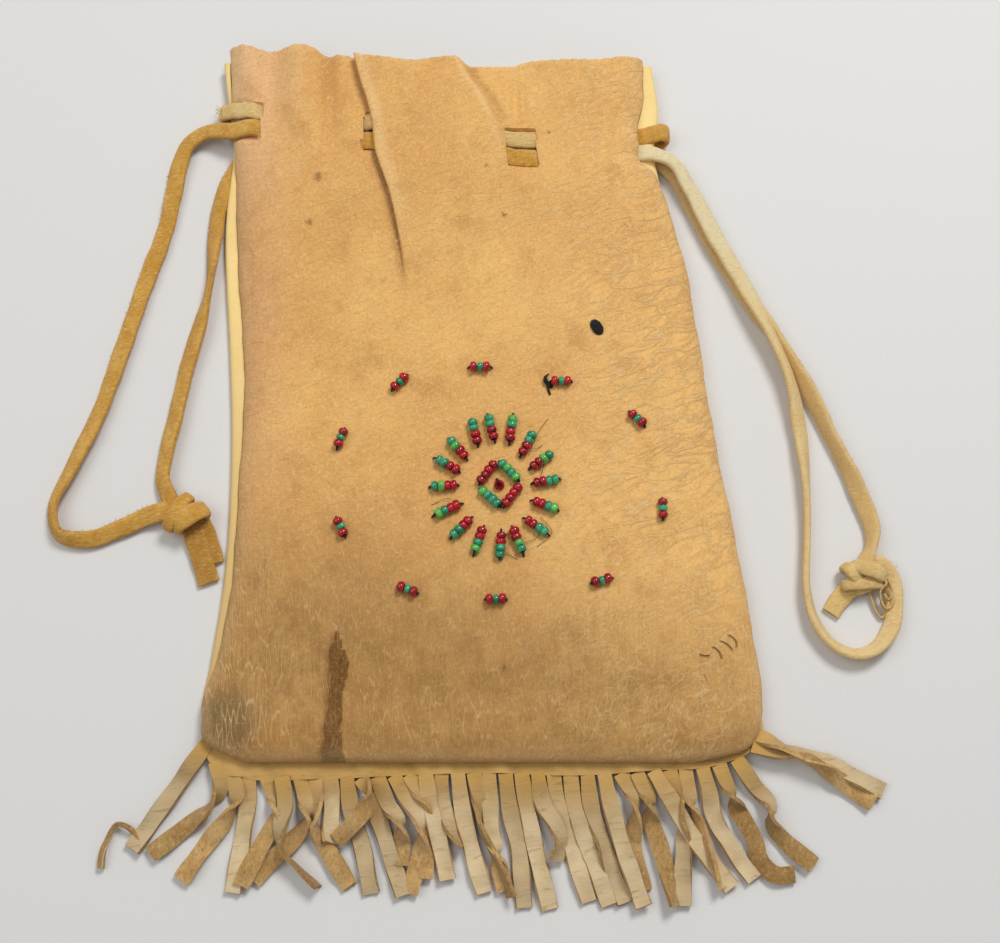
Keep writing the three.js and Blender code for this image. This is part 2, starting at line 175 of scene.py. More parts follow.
def lamp(name, size, energy, place, towards):
    bpy.ops.object.light_add(type="AREA", location=place)
    light = bpy.context.object
    light.name = name
    light.data.shape = "DISK"
    light.data.size = size
    light.data.energy = energy
    light.rotation_euler = (Vector(towards) - Vector(place)).to_track_quat("-Z", "Y").to_euler()


lamp("key_lamp", 0.5, 11.2, (0.42, 0.72, 1.15), (0.0, 0.03, 0))
lamp("fill_lamp", 1.2, 5.0, (-0.75, 0.1, 1.2), (0, 0, 0))

studio = bpy.data.worlds.new("studio")
studio.use_nodes = True
studio.node_tree.nodes["Background"].inputs["Color"].default_value = tone(232, 234, 238)
studio.node_tree.nodes["Background"].inputs["Strength"].default_value = 0.36
bpy.context.scene.world = studio
bpy.context.scene.view_settings.view_transform = "Standard"

bpy.ops.object.camera_add(location=(0.0012, -0.1213, 0.4347), rotation=(math.radians(15), 0, 0))
camera = bpy.context.object
camera.name = "camera"
camera.data.lens = 58.9
camera.data.sensor_width = 36
bpy.context.scene.camera = camera


# ---- front panel ---------------------------------------------------------------------------------------
# One piece of soft tanned deerskin, grain side out, soiled by handling. Its sides and bottom are sewn to the
# back panel and turned, so the edges roll over. The lacing gathers the mouth into a broad pleat.

LEATHER = 1.2
BOTTOM = -84.3
MOUTH = 118.0
ROLL = 7.0  # width of the rolled edge
ROLL_HEIGHT = 3.6
WINDOW_DEPTH = 1.9  # how far the lacing presses the hide down
SLIT_HALF = 5.5
SLIT_GAP = 0.16


def ease(value, low, high):
    share = np.clip((value - low) / (high - low), 0, 1)
    return share * share * (3 - 2 * share)


def bell(value, middle, width):
    return np.exp(-(((value - middle) / width) ** 2))


def through(where, values, at):
    """A smooth curve through values, read at some places."""
    slopes = np.gradient(values, where, axis=0)
    at = np.clip(at, where[0], where[-1])
    i = np.clip(np.searchsorted(where, at, side="right") - 1, 0, len(where) - 2)
    span = where[i + 1] - where[i]
    t = (at - where[i]) / span
    if values.ndim > 1:
        span = span[..., None]
        t = t[..., None]
    rise = t * t * (3 - 2 * t)
    start = t * (1 - t) ** 2 * span * slopes[i]
    end = t * t * (1 - t) * span * slopes[i + 1]
    return values[i] * (1 - rise) + values[i + 1] * rise + start - end


def smooth_line(*knots):
    where, values = np.array(knots, float).T
    return lambda at: through(where, values, np.asarray(at, float))


def waves(at, *parts):
    """Irregular waviness, each part an amplitude, a wavelength and a phase."""
    return sum(height * np.sin(2 * math.pi * at / length + phase) for height, length, phase in parts)


def lay_sheet(name, columns, rows, place):
    """A grid whose corners go to place(column, row), in millimetres, with the marks that place adds."""
    bpy.ops.mesh.primitive_grid_add(x_subdivisions=columns, y_subdivisions=rows, size=2)
    piece = bpy.context.object
    piece.name = name
    piece.data.name = name
    corners = np.empty(len(piece.data.vertices) * 3)
    piece.data.vertices.foreach_get("co", corners)
    corners = corners.reshape(-1, 3)
    column = np.rint((corners[:, 0] + 1) / 2 * columns).astype(int)
    row = np.rint((corners[:, 1] + 1) / 2 * rows).astype(int)
    x, y, z, marks = place(column, row)
    corners = np.stack([x, y, z], axis=1) * MM
    piece.data.vertices.foreach_set("co", corners.ravel())
    for mark, values in marks.items():
        layer = piece.data.attributes.new(mark, "FLOAT", "POINT")
        layer.data.foreach_set("value", values.astype(np.float32))
    piece.data.update()
    return piece


def pick(*pieces):
    """Selects these pieces and nothing else. The first becomes the active one."""
    bpy.ops.object.select_all(action="DESELECT")
    for piece in pieces:
        piece.select_set(True)
    bpy.context.view_layer.objects.active = pieces[0]


def tidy_mesh(piece, outwards=True):
    """Joins corners that meet and, on a closed piece, turns every face outwards."""
    pick(piece)
    bpy.ops.object.mode_set(mode="EDIT")
    bpy.ops.mesh.select_all(action="SELECT")
    bpy.ops.mesh.remove_doubles(threshold=0.000004)
    if outwards:
        bpy.ops.mesh.normals_make_consistent(inside=False)
    bpy.ops.object.mode_set(mode="OBJECT")


def thicken(piece, thickness, offset, outer, inner):
    """Gives a sheet its two finishes and its wall. The inner face and the cut edge take the second."""
    piece.data.materials.append(outer.material)
    piece.data.materials.append(inner.material)
    wall = piece.modifiers.new("wall", "SOLIDIFY")
    wall.thickness = thickness * MM
    wall.offset = offset
    wall.material_offset = 1
    wall.material_offset_rim = 1
    pick(piece)
    bpy.ops.object.modifier_apply(modifier=wall.name)


def settle(piece, nodes, finish=None, smooth=60):
    """The finished piece rides on the pouch and stands for its CAD nodes."""
    if finish:
        piece.data.materials.append(finish.material)
    pick(piece)
    bpy.ops.object.shade_smooth_by_angle(angle=math.radians(smooth))
    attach(piece, "root")
    if nodes:
        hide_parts(*nodes)
    piece.select_set(False)


# x of the panel's edges, of the pleat's fold and of its flank, along y. Then y of the mouth, along x.
left_knots = smooth_line(
    (-84.3, -65), (-81, -73), (-72, -77), (-57.5, -74), (-41, -71.4), (0, -69.7), (30, -70.3),
    (45, -71.6), (58, -73.0), (82, -74.5), (92, -75.1), (105, -76.0), (115, -77.3), (121.5, -78.3),
)
right_knots = smooth_line(
    (-84.3, 52), (-81.7, 63.6), (-78.1, 67.9), (-72.5, 69.9), (-65.2, 70.3), (-54.8, 69.4), (-41, 67.4),
    (-6, 61.6), (32, 56.8), (59.7, 52.2), (70.7, 49.3), (78, 47.0), (82.4, 45.0), (84.8, 42.0),
    (90, 41.2), (98, 41.0), (102, 42.2), (118, 42.6),
)


def left_edge(y):
    return left_knots(y) + ease(y, -78, -60) * waves(y, (0.12, 19, 1), (0.05, 7.3, 2), (0.25, 61, 0))


def right_edge(y):
    return right_knots(y) + ease(y, -78, -60) * waves(y, (0.16, 23, 0), (0.06, 8.1, 1), (0.25, 71, 3))


fold_line = smooth_line(
    (-84.3, -20), (-40, -22.5), (10, -24), (47.8, -25.2), (62.8, -27.5), (74, -30.0), (81, -32.5),
    (86, -34.0), (93.5, -34.9), (99, -36.0), (106, -37.9), (118, -40.6),
)
flank_line = smooth_line(
    (-84.3, 9), (0, 8.5), (55, 7), (75, 5.2), (84.2, 3.4), (96.7, -0.8), (106, -5), (118, -9.6)
)
mouth_line = smooth_line(
    (-79, 120.6), (-77, 120.9), (-74.6, 120.6), (-71.2, 120.0), (-65.3, 119.2), (-61.8, 119.2),
    (-59.2, 119.5), (-56, 119.4), (-53, 118.9), (-49.6, 117.5), (-45, 116.6), (-42, 115.7),
    (-39, 114.9), (-31.8, 113.4), (-23.2, 112.2), (-16, 113.2), (-10.6, 113.5), (-8.4, 112.8),
    (-6.8, 112.3), (-1.7, 112.4), (4.7, 112.4), (9.8, 114.2), (18.5, 115.2), (30, 115.5), (36, 117.0),
    (43, 117.6),
)


def lift(y):
    """How far the lacing under the back panel raises the mouth."""
    return 1.9 * ease(y, 56, 80)


# y of the lacing's middle, along x.
row_middle = smooth_line(
    (-84, 98.8), (-67.5, 96.4), (-51, 94.4), (-36, 92.2), (-14, 88.8), (7, 87.0), (26, 88.4), (43, 91.2),
    (50, 92.0),
)

# Where the front is cut: x of the slit, its lean, and its middle.
SLITS = [(-67.5, -0.06), (-37.4, -0.05), (3.0, -0.1), (11.4, -0.16)]

# The sewn edge as a chain of short lines: down the left side, along the bottom, up the right side.
SIDE_STEPS = 521
BASE_STEPS = 200
BATCH = 4000  # corners measured at a time
sides = np.linspace(124, BOTTOM, SIDE_STEPS)
base = np.linspace(left_edge(BOTTOM), right_edge(BOTTOM), BASE_STEPS)
outline = np.concatenate([
    np.stack([left_edge(sides), sides], axis=1),
    np.stack([base, np.full(BASE_STEPS, BOTTOM)], axis=1),
    np.stack([right_edge(sides[::-1]), sides[::-1]], axis=1),
])


def inset(x, y):
    """Distance in from the sewn edge."""
    start = outline[:-1]
    run = outline[1:] - start
    length = np.maximum((run**2).sum(axis=1), 1e-9)
    spots = np.stack([x, y], axis=1)
    found = np.empty(len(spots))
    for first in range(0, len(spots), BATCH):
        reach = spots[first:first + BATCH, None] - start
        share = np.clip((reach * run).sum(axis=2) / length, 0, 1)
        away = reach - share[..., None] * run
        found[first:first + BATCH] = np.sqrt((away**2).sum(axis=2).min(axis=1))
    return found


def pleat(x, y):
    """The broad pleat's height: a sharp fold at its left, a soft flank at its right."""
    tall = 2.6 * ease(y, 34, 76)
    soft = 3.9 * ease(y, 62, 100)
    across = np.clip((x - fold_line(y)) / (flank_line(y) - fold_line(y)), 0, 1)
    top = tall * (1 - across) + soft * across
    crown = 0.7 * np.sin(math.pi * across) * ease(y, 40, 90)
    width = 1.5 + 7.5 * (1 - ease(y, 66, 98))
    inside = ease(x - fold_line(y), -1.3, 1.3) * ease(x - flank_line(y), width, -width)
    return (top + crown) * inside


def pressed(x, y):
    """How far the lacing presses the hide down, in the three places where it lies outside."""
    across = abs(y - row_middle(x))
    near = ease(across, 5.9, 5.2)
    fold = fold_line(y)
    first = (x < SLITS[0][0]) * ease(x, -79.5, -73)
    second = (x > SLITS[1][0]) * ease(x - fold, 1.4, -0.2)
    lean = SLITS[2][1] * (y - row_middle(7))
    third = (x > SLITS[2][0] + lean) * (x < SLITS[3][0] + lean)
    return WINDOW_DEPTH * near * (first + second * 0.95 + third)


def wrinkles(x, y):
    """Folds and swellings of the soft hide."""
    mouth = ease(y, 78, 119)
    folds = 1.3 * bell(x, -73.5, 4.2) - 1.8 * bell(x, -65.2, 4.0) + 1.9 * bell(x, -56.6, 4.6)
    folds = folds * mouth - 2.6 * bell(x, -48.6 + 0.06 * (118 - y), 2.4) * ease(y, 72, 112)
    small = 0.7 * (bell(x, 3.2, 1.2) - bell(x, 5.6, 1.1) + bell(x, 7.8, 1.2)) * bell(y, 104, 9)
    right = 0.7 * bell(x, 27, 6) * ease(y, 95, 118) - 0.5 * bell(x, 12.5, 4) * ease(y, 96, 118)
    slow = waves(x + 0.35 * y, (0.26, 47, 0.4)) * waves(y - 0.2 * x, (1, 63, 1.3))
    slow = slow + waves(x - 0.6 * y, (0.2, 29, 2.0)) * waves(y + 0.5 * x, (1, 37, 0.2))
    hang = -0.9 * bell(x, -44 + 0.06 * y, 12) * ease(y, -60, 20) * ease(y, 95, 40)
    hem = 0.35 * waves(x, (0.6, 23, 0), (0.4, 11, 2)) * ease(y, -66, -80)
    return folds + small + right + slow + hang + hem


scar_left = smooth_line((-84.3, -45.4), (-74.7, -44.3), (-62.4, -43.6), (-53.5, -43.0), (-50.5, -41.9))
scar_right = smooth_line(
    (-84.3, -38.7), (-77, -39.9), (-72.7, -39.7), (-65.5, -39.6), (-60.3, -38.4), (-53, -40.4),
    (-50.5, -41.5),
)


def scar(x, y):
    """A healed cut in the hide, brown and rough: 1 inside it."""
    left = ease(x - scar_left(y) - waves(y, (0.12, 5, 0)), -0.3, 0.5)
    right = ease(scar_right(y) - x - waves(y, (0.2, 7, 0), (0.12, 2.9, 1)), -0.5, 0.7)
    return left * right * ease(y, -49.6, -51.2)


def hide_height(x, y, edge=None):
    """The front panel's outer face, without its overhang."""
    inside = inset(x, y) if edge is None else edge
    rolled = ROLL_HEIGHT * np.sqrt(1 - (1 - np.clip(inside / ROLL, 0, 1)) ** 2)
    left = left_edge(y)
    across = np.clip(2 * (x - left) / (right_edge(y) - left) - 1, -1, 1)
    belly = 3.6 * (1 - across**2) * ease(y, BOTTOM, BOTTOM + 45)
    seam = lift(y) + 2 * LEATHER + 0.3 + 1.5 * ease(y, -66, -77)
    gate = 2.2 * bell(y, 91, 7.5) * ease(x, 33, 42)
    loose = ease(inside, 0, 6)
    worn = loose * (wrinkles(x, y) + pleat(x, y)) + 0.6 * scar(x, y) * ease(inside, 0, 2)
    return seam + rolled + belly + gate + worn - pressed(x, y)


# Columns run from one tucked edge to the other: the tuck, the roll, the middle in four stretches, and back.
TUCKS = 3
stations = np.concatenate([
    np.linspace(-3, 0, TUCKS + 1)[:-1], np.linspace(0, 1, 10)[:-1], np.linspace(1, 2, 39)[:-1],
    np.linspace(2, 3, 15)[:-1], np.linspace(3, 4, 33)[:-1], np.linspace(4, 5, 60)[:-1],
    np.linspace(5, 6, 10), np.linspace(6, 9, TUCKS + 1)[1:],
])
roll_rows = BOTTOM + ROLL * (1 - np.cos(np.linspace(0, math.pi / 2, 10)))
levels = np.concatenate([np.full(TUCKS, BOTTOM), roll_rows[:-1], np.linspace(roll_rows[-1], MOUTH, 228)])
TUCK_IN = np.array([0, 0.35, 1.2, 2.6])
TUCK_DOWN = np.array([0, 0.8, 1.25, 1.3])


def front_columns():
    """x of every column in every row, before the fold's overhang."""
    fold = fold_line(levels)
    left = left_edge(levels)
    right = right_edge(levels)
    anchors = np.stack([left, left + ROLL, fold - 2.4, fold + 2.4, flank_line(levels), right - ROLL, right])
    stretch = np.clip(np.floor(stations).astype(int), 0, 5)
    share = np.clip(stations - stretch, 0, 1)
    quarter = share * math.pi / 2
    share = np.where(stretch == 0, 1 - np.cos(quarter), np.where(stretch == 5, np.sin(quarter), share))
    x = anchors[stretch] + (anchors[stretch + 1] - anchors[stretch]) * share[:, None]
    for slit, lean in SLITS:
        middle = row_middle(slit)
        centre_row = np.argmin(abs(levels - middle))
        column = np.searchsorted(x[:, centre_row], slit) - 1
        cut = slit + lean * (levels - middle)
        held = ease(abs(levels - middle), SLIT_HALF + 7, SLIT_HALF)
        shift = (cut - (x[column] + x[column + 1]) / 2) * held
        x = x + shift * np.exp(-(((np.arange(len(x)) - column - 0.5) / 6.5)[:, None] ** 2))
        sharp = ease(abs(levels - middle), SLIT_HALF + 1.6, SLIT_HALF + 0.3)
        x[column] += (cut - SLIT_GAP - x[column]) * sharp
        x[column + 1] += (cut + SLIT_GAP - x[column + 1]) * sharp
    return x


def place_front(column, row):
    x = front_columns()[column, row]
    y = levels[row]
    tuck = np.maximum.reduce([TUCKS - column, column - (len(stations) - 1 - TUCKS), TUCKS - row])
    tuck = np.clip(tuck, 0, TUCKS)
    edge = inset(x, y)
    edge[tuck > 0] = 0
    edge[(column == TUCKS) | (column == len(stations) - 1 - TUCKS) | (row == TUCKS)] = 0
    z = hide_height(x, y, edge)
    # The tuck goes in along the outline's normal and under.
    middle = np.stack([-8 + 0 * x, np.clip(y, -68, 200)], axis=1)
    aim = middle - np.stack([x, y], axis=1)
    level_side = (column <= TUCKS) | (column >= len(stations) - 1 - TUCKS)
    aim[:, 1] = np.where(level_side & (y > -68), 0, aim[:, 1])
    corner = ease(abs(x + 6), 40, 75)
    aim[:, 0] *= np.where(level_side, 1, corner * 0.25)
    aim /= np.maximum(np.linalg.norm(aim, axis=1), 1e-6)[:, None]
    fade = ease(y, MOUTH + 1, 96)
    x = x + aim[:, 0] * TUCK_IN[tuck]
    y = y + aim[:, 1] * TUCK_IN[tuck]
    z = z - TUCK_DOWN[tuck] * (0.35 + 0.65 * fade)
    # The pleat's fold leans over to the left.
    side = x - fold_line(y)
    tall = ease(y, 36, 76)
    x = x + tall * (1.5 * bell(side, -0.95, 0.75) - 1.0 * bell(side, 1.1, 1.0))
    mouth = (mouth_line(x) - MOUTH + waves(x, (0.12, 3.1, 0), (0.08, 1.7, 1))) * ease(y, 100, MOUTH)
    # Painted shade: a dark line under the fold's overhang, down two valleys near the mouth, and along the
    # scar's left side.
    crease = bell(side, -1.0, 1.0) * ease(y, 38, 62) * (0.45 + 0.4 * ease(y, 100, 84))
    crease = crease + 0.5 * bell(x, -48.8 + 0.06 * (118 - y), 1.5) * ease(y, 86, 112)
    crease = crease + 0.5 * bell(x, flank_line(y) + 2.6, 1.5) * ease(y, 82, 104)
    crease = crease + 0.7 * bell(x, scar_left(y) - 0.1, 0.7) * ease(y, -49.8, -52)
    # Painted highlight: lighter along the flank's crest, on the pleat just right of its fold, along the
    # mouth's top edge and on two folds at the mouth's left.
    ridge = 0.9 * bell(x, flank_line(y) - 1.4, 1.3) * ease(y, 74, 100)
    ridge = ridge + 0.8 * bell(side, 2.2, 1.3) * ease(y, 52, 80) + 0.6 * ease(y, MOUTH - 1.3, MOUTH)
    ridge = ridge + 0.5 * (bell(x, -74.2, 2.2) + bell(x, -57.5, 2.6)) * ease(y, 96, 116)
    marks = {
        "crease": crease,
        "ridge": ridge,
        "scar": scar(x, y),
        "edge": ease(edge, 5, 0),
    }
    return x, y + mouth, z, marks


front_panel = lay_sheet("front_panel_hide", len(stations) - 1, len(levels) - 1, place_front)
tidy_mesh(front_panel, outwards=False)

# The slits are cut through.
faces = front_panel.data.polygons
centres = np.empty(len(faces) * 3)
faces.foreach_get("center", centres)
centres = centres.reshape(-1, 3) / MM
open_faces = np.zeros(len(faces), bool)
for slit, lean in SLITS:
    middle = row_middle(slit)
    cut = slit + lean * (centres[:, 1] - middle)
    open_faces |= (abs(centres[:, 0] - cut) < SLIT_GAP * 0.8) & (abs(centres[:, 1] - middle) < SLIT_HALF)
bpy.ops.object.mode_set(mode="EDIT")
bpy.ops.mesh.select_mode(type="FACE")
bpy.ops.object.mode_set(mode="OBJECT")
faces.foreach_set("select", open_faces)
bpy.ops.object.mode_set(mode="EDIT")
bpy.ops.mesh.delete(type="FACE")
bpy.ops.object.mode_set(mode="OBJECT")

hide = Finish("front_hide_finish", {"Roughness": 0.74, "Specular IOR Level": 0.32, "Sheen Weight": 0.06})
across_x = hide.along(0)
up_y = hide.along(1)
blotch = hide.noise((34, 42, 34), 4, 20, 0.55)
cloud = hide.noise((13, 17, 13), 5, 0, 0.6)
wobble = (cloud - 0.5) * 26
to_left = (across_x + wobble * 0.5).between(-50, -74)
to_right = (across_x + wobble).between(-6, 48)
to_bottom = (up_y + wobble * 1.3 + across_x * 0.3).between(-12, -68)


def away(x, y):
    """Distance in millimetres from a spot on the hide."""
    return ((across_x - x) ** 2.0 + (up_y - y) ** 2.0) ** 0.5


grime = hide.noise((5, 6.5, 5), 5, 0, 0.65)
stains = hide.noise((11, 15, 11), 3, 40, 0.5)
corner = away(-71, -74) + wobble * 0.25
scar_nap = hide.noise((0.8, 1.3, 0.8), 5, 0, 0.75)
scarred = (hide.mark("scar") + (scar_nap - 0.5) * 0.7).between(0.34, 0.6)
scar_colour = hide.mix(scar_nap.between(0.3, 0.62), tone(84, 48, 4), tone(132, 86, 22))
colour = hide.coats(
    tone(229, 171, 97),
    (blotch.between(0.35, 0.68), tone(242, 189, 110)),
    (cloud.between(0.5, 0.8) * 0.55, tone(212, 150, 78)),
    (to_right * 0.5, tone(250, 198, 120)),
    (to_left * (0.8 - to_bottom * 0.5), tone(219, 164, 114)),
    ((up_y + wobble).between(62, 112) * to_left * 0.6, tone(250, 202, 150)),
    (to_bottom * (0.68 + grime.between(0.35, 0.65) * 0.26), tone(164, 120, 64)),
    (grime.between(0.5, 0.75) * 0.28, tone(182, 124, 56)),
    (stains.between(0.56, 0.72) * 0.34, tone(186, 128, 62)),
    (corner.between(13, 3) * 0.85, tone(108, 90, 54)),
    (scarred * 0.86, scar_colour),
    # Painted shade in the fold and the valleys.
    (hide.mark("crease") * 0.7, tone(120, 74, 28)),
    # Painted highlight along the rolled edge.
    (hide.mark("edge") * 0.3, tone(236, 196, 140)),
    # Painted highlight on the crests and the mouth's edge.
    (hide.mark("ridge") * 0.42, tone(255, 222, 160)),
)
# Where the grain has worn, fine upright lines of lighter fibre, and pores all over.
unworn = (1.0 - to_bottom) * (1.0 - to_left * 0.7)
streak = hide.noise((0.7, 9, 1.5), 4, 3, 0.66, 0.8)
pores = hide.noise((0.75, 1.0, 0.75), 4, 0, 0.72)
colour = hide.coats(
    colour,
    (streak.between(0.5, 0.7) * (to_bottom * 0.5 + to_left * 0.5 + 0.1) * 0.24, tone(232, 188, 126)),
    (streak.between(0.47, 0.3) * (to_bottom * 0.3 + to_left * 0.2), tone(138, 96, 50)),
    (pores.between(0.5, 0.68) * 0.3, tone(176, 122, 58)),
    (pores.between(0.48, 0.34) * (0.16 + unworn * 0.16), tone(255, 218, 150)),
)


def lines(size, turn, warp, width):
    """Thin wandering ridges between long cells, and the shade that runs beside them."""
    walls = hide.walls(size, turn, warp)
    return walls.between(width, width * 0.1), walls.between(width * 3.4, width * 1.1)


# Wrinkles cross in a net at the right, and fibres stand upright at the left and fan out at the bottom.
broken = hide.noise((7, 7, 7), 3).between(0.34, 0.58)
patchy = hide.noise((5, 8, 5), 3, 20).between(0.4, 0.62)
bold, bold_shade = lines((9, 3.4, 6), 30, 2.0, 0.085)
net, net_shade = lines((4.2, 1.9, 3), 37, 1.4, 0.1)
fibre, fibre_shade = lines((1.0, 8.5, 4), 3, 0.45, 0.1)
fan, fan_shade = lines((1.2, 7, 4), -24, 0.8, 0.1)
wrinkled = broken * (to_right * 0.4 + 0.5) * (1.0 - to_bottom * 0.7)
folded = stains.between(0.64, 0.44) * to_right * (1.0 - to_bottom * 0.6)
upright = patchy * (to_left * 0.55 + to_bottom * 0.7) * (1.0 - to_right * (1.0 - to_bottom))
fanned = to_bottom * to_right * patchy * 0.45
lit_ridges_and_fibre = bold * folded * 0.7 + net * wrinkled * 0.6 + fibre * upright * 0.5 + fan * fanned
sunk_shade = bold_shade * folded * 0.7 + net_shade * wrinkled * 0.3
sunk_shade = sunk_shade + fibre_shade * upright * 0.5 + fan_shade * fanned * 0.5
# Painted highlight on the wrinkles' ridges, with the lighter fibre lines, then painted shade beside the
# wrinkles and the fibres.
colour = hide.coats(colour, (lit_ridges_and_fibre * 0.72, tone(255, 222, 158)), (sunk_shade * 0.34, tone(166, 110, 50)))
# Small stains: x, y and size.
for x, y, reach in [
    (-50.2, 78.5, 1.3), (-52.3, 65.4, 0.9), (-2.5, 80.4, 0.5), (2.3, 66.6, 0.6), (14.9, 92.1, 0.5),
    (2.3, -60.3, 0.7),
]:
    mark = (away(x, y) + (pores - 0.5) * 5).between(reach * 1.4, reach * 0.4)
    colour = hide.mix(mark * 0.6, colour, tone(112, 72, 32))
# Curved creases pressed into the hide: centre of each arc, its radius, its middle, and its half length.
dents = []
for x, y, radius, mid_x, mid_y, half in [
    (55.2, -54.2, 2.8, 54.9, -56.9, 1.6), (56.0, -58.1, 3.5, 58.7, -55.8, 2.5),
    (58.2, -57.6, 4.6, 60.9, -54.0, 2.5), (60.6, -54.2, 2.9, 63.0, -52.7, 2.6),
    (47.2, -67.1, 9.0, 55.3, -63.2, 1.9),
]:
    off_arc = (away(x, y) - radius + (cloud - 0.5) * 1.2).math("ABSOLUTE")
    dents.append(off_arc.between(0.42, 0.05) * away(mid_x, mid_y).between(half, half * 0.6))
dent = dents[0] + dents[1] + dents[2] + dents[3] + dents[4] * 0.4
colour = hide.mix(dent * 0.62, colour, tone(112, 72, 28))
hide.give("Base Color", colour)

rough_scar = scar_nap * hide.mark("scar")
low_down = up_y.between(-10, -60)
far_right = across_x.between(0, 40) * (1.0 - low_down)
ridges = bold * far_right * 0.09 + net * (0.07 - low_down * 0.05) + fibre * low_down * 0.05
relief = pores * 0.18 + ridges + streak * (0.05 + low_down * 0.07)
hide.relief(relief + rough_scar * 0.7 - dent * 0.5)
hide.give("Roughness", 0.76 - lit_ridges_and_fibre * 0.08 - pores * 0.08)

suede = Finish("hide_suede_finish", {"Roughness": 0.95, "Specular IOR Level": 0.15, "Sheen Weight": 0.25})
nap = suede.noise((0.5, 0.5, 0.5), 4, 0, 0.7)
suede_patch = suede.noise((6, 6, 6), 3).between(0.3, 0.7)
suede_colour = suede.mix(suede_patch, tone(176, 136, 82), tone(206, 170, 116))
suede.give("Base Color", suede.mix(nap.between(0.45, 0.7) * 0.4, suede_colour, tone(138, 98, 52)))
suede.relief(nap * 0.3)

thicken(front_panel, LEATHER, -1, hide, suede)
settle(front_panel, ["front_panel"], smooth=50)


# ---- back panel ----------------------------------------------------------------------------------------
# A second, cleaner skin, pale yellow. It lies flat on the table, and its sides turn up round the seam, so
# that they show as a pale band beside the front's rolled edge.

back_left = smooth_line(
    (-84.3, -66), (-80.6, -73.6), (-72, -77.3), (-57, -75.6), (-41, -73.6), (0, -72.6), (30, -74.4),
    (50, -76.2), (61, -77.0), (72, -76.7), (81, -75.9), (92.6, -75.7), (101, -77.0), (112.8, -78.9),
    (119, -80.0),
)
back_right = smooth_line(
    (-84.3, 53), (-80.6, 64.6), (-68, 69.6), (-41, 66.8), (-6, 61.2), (32, 56.6), (77, 47.6),
    (88, 45.6), (101, 47.0), (118, 45.2),
)
BACK_LIP = 3
BACK_ARC = 8
BACK_FLAT = 26
back_count = 2 * (BACK_LIP + BACK_ARC) + BACK_FLAT
back_levels = np.linspace(BOTTOM, 116, 150)


def back_rise(x, y):
    """How far the lacing that passes under it lifts the back panel."""
    return lift(y) + 2.1 * bell(x, -54, 9) * bell(y, 94, 9)


def place_back(column, row):
    y = back_levels[row]
    low_x = back_left(y)
    high_x = back_right(y)
    from_right = column < back_count / 2
    step = np.where(from_right, column, back_count - column)
    band = np.where(from_right, high_x - right_edge(y), left_edge(y) - low_x)
    radius = 0.6 + 0.68 * ease(band, 0.5, 2.2)
    reach = np.maximum(band - 0.1, radius + 0.35)
    lip = np.clip(step / BACK_LIP, 0, 1)
    turn = np.clip((step - BACK_LIP) / BACK_ARC, 0, 1) * math.pi
    out = np.where(step <= BACK_LIP, reach + (radius - reach) * lip, radius - radius * np.sin(turn))
    z = radius + radius * np.cos(turn)
    flat = np.clip((column - BACK_LIP - BACK_ARC) / BACK_FLAT, 0, 1)
    in_flat = (flat > 0) & (flat < 1)
    rim = np.where(from_right, high_x - out, low_x + out)
    x = np.where(in_flat, (high_x - radius) * (1 - flat) + (low_x + radius) * flat, rim)
    z = np.where(in_flat, 0, z) + back_rise(x, y)
    slope = ease(y, 108, 116) * (1.4 - 0.007 * (x + 80))
    return x, y + slope + waves(x + y, (0.1, 9, 0)), z, {}


back_panel = lay_sheet("back_panel_hide", back_count, len(back_levels) - 1, place_back)
pale = Finish("back_hide_finish", {"Roughness": 0.78, "Specular IOR Level": 0.28, "Sheen Weight": 0.08})
pale_cloud = pale.noise((16, 24, 16), 4, 0, 0.6)
pale_low = (pale.along(1) + (pale_cloud - 0.5) * 40).between(60, -70)
pale_pores = pale.noise((0.6, 0.8, 0.6), 3, 0, 0.65)
pale.give("Base Color", pale.coats(
    tone(255, 226, 152),
    (pale_cloud.between(0.35, 0.7) * 0.6, tone(246, 208, 132)),
    (pale_low * 0.7, tone(203, 166, 106)),
    (pale_pores.between(0.56, 0.8) * 0.3, tone(176, 130, 72)),
))
pale.relief(pale_pores * 0.12)
thicken(back_panel, LEATHER * 0.9, -1, pale, suede)
settle(back_panel, ["back_panel"], smooth=50)


# ---- fringe --------------------------------------------------------------------------------------------
# A strip of thin hide caught in the bottom seam and slashed into a fringe with a knife. Age has dried it,
# so that many strips have twisted over and show their brown flesh side.

FRINGE_HIDE = 1.05
HEADER_COLUMNS = 150
HEADER_ROWS = 8
STRIP_COLUMNS = 4
STRIP_WIDTH = 4.15
cut_line = smooth_line(
    (-77, -80), (-74, -85), (-66, -87.8), (-45, -88.2), (-20, -87.2), (0, -86.8), (20, -87.4),
    (40, -86.2), (60, -84.2), (67, -81), (70, -77.8),
)


def fringe_floor(y):
    """Underside of the fringe: over the back panel's edge, then down on the table."""
    return 0.05 + 1.5 * ease(y, -93, -84.6)


def place_header(column, row):
    x = -77 + 147 * column / HEADER_COLUMNS
    share = row / HEADER_ROWS
    y = cut_line(x) + (-77.6 - cut_line(x)) * share
    puff = 0.4 * waves(x, (1, 17, 1), (0.6, 7, 0)) * (1 - share)
    shade = np.clip(waves(x + 0.8 * y, (0.6, 13, 1), (0.5, 5.3, 2)), 0, 1) * (1 - share)
    marks = {"tip": 0 * x, "shade": shade, "age": 0 * x}
    return x, y, fringe_floor(y) + FRINGE_HIDE / 2 + np.maximum(puff, -0.1), marks


def follow(knots, step):
    """Points a step apart on one smooth curve through the knots. All their columns are carried along."""
    knots = np.array(knots, float)
    run = np.concatenate([[0], np.cumsum(np.linalg.norm(np.diff(knots[:, :2], axis=0), axis=1))])
    at = np.linspace(0, run[-1], max(3, round(run[-1] / step)) + 1)
    return through(run, knots, at)


def headings(points):
    tangents = np.gradient(points, axis=0)
    return tangents / np.linalg.norm(tangents, axis=1)[:, None]


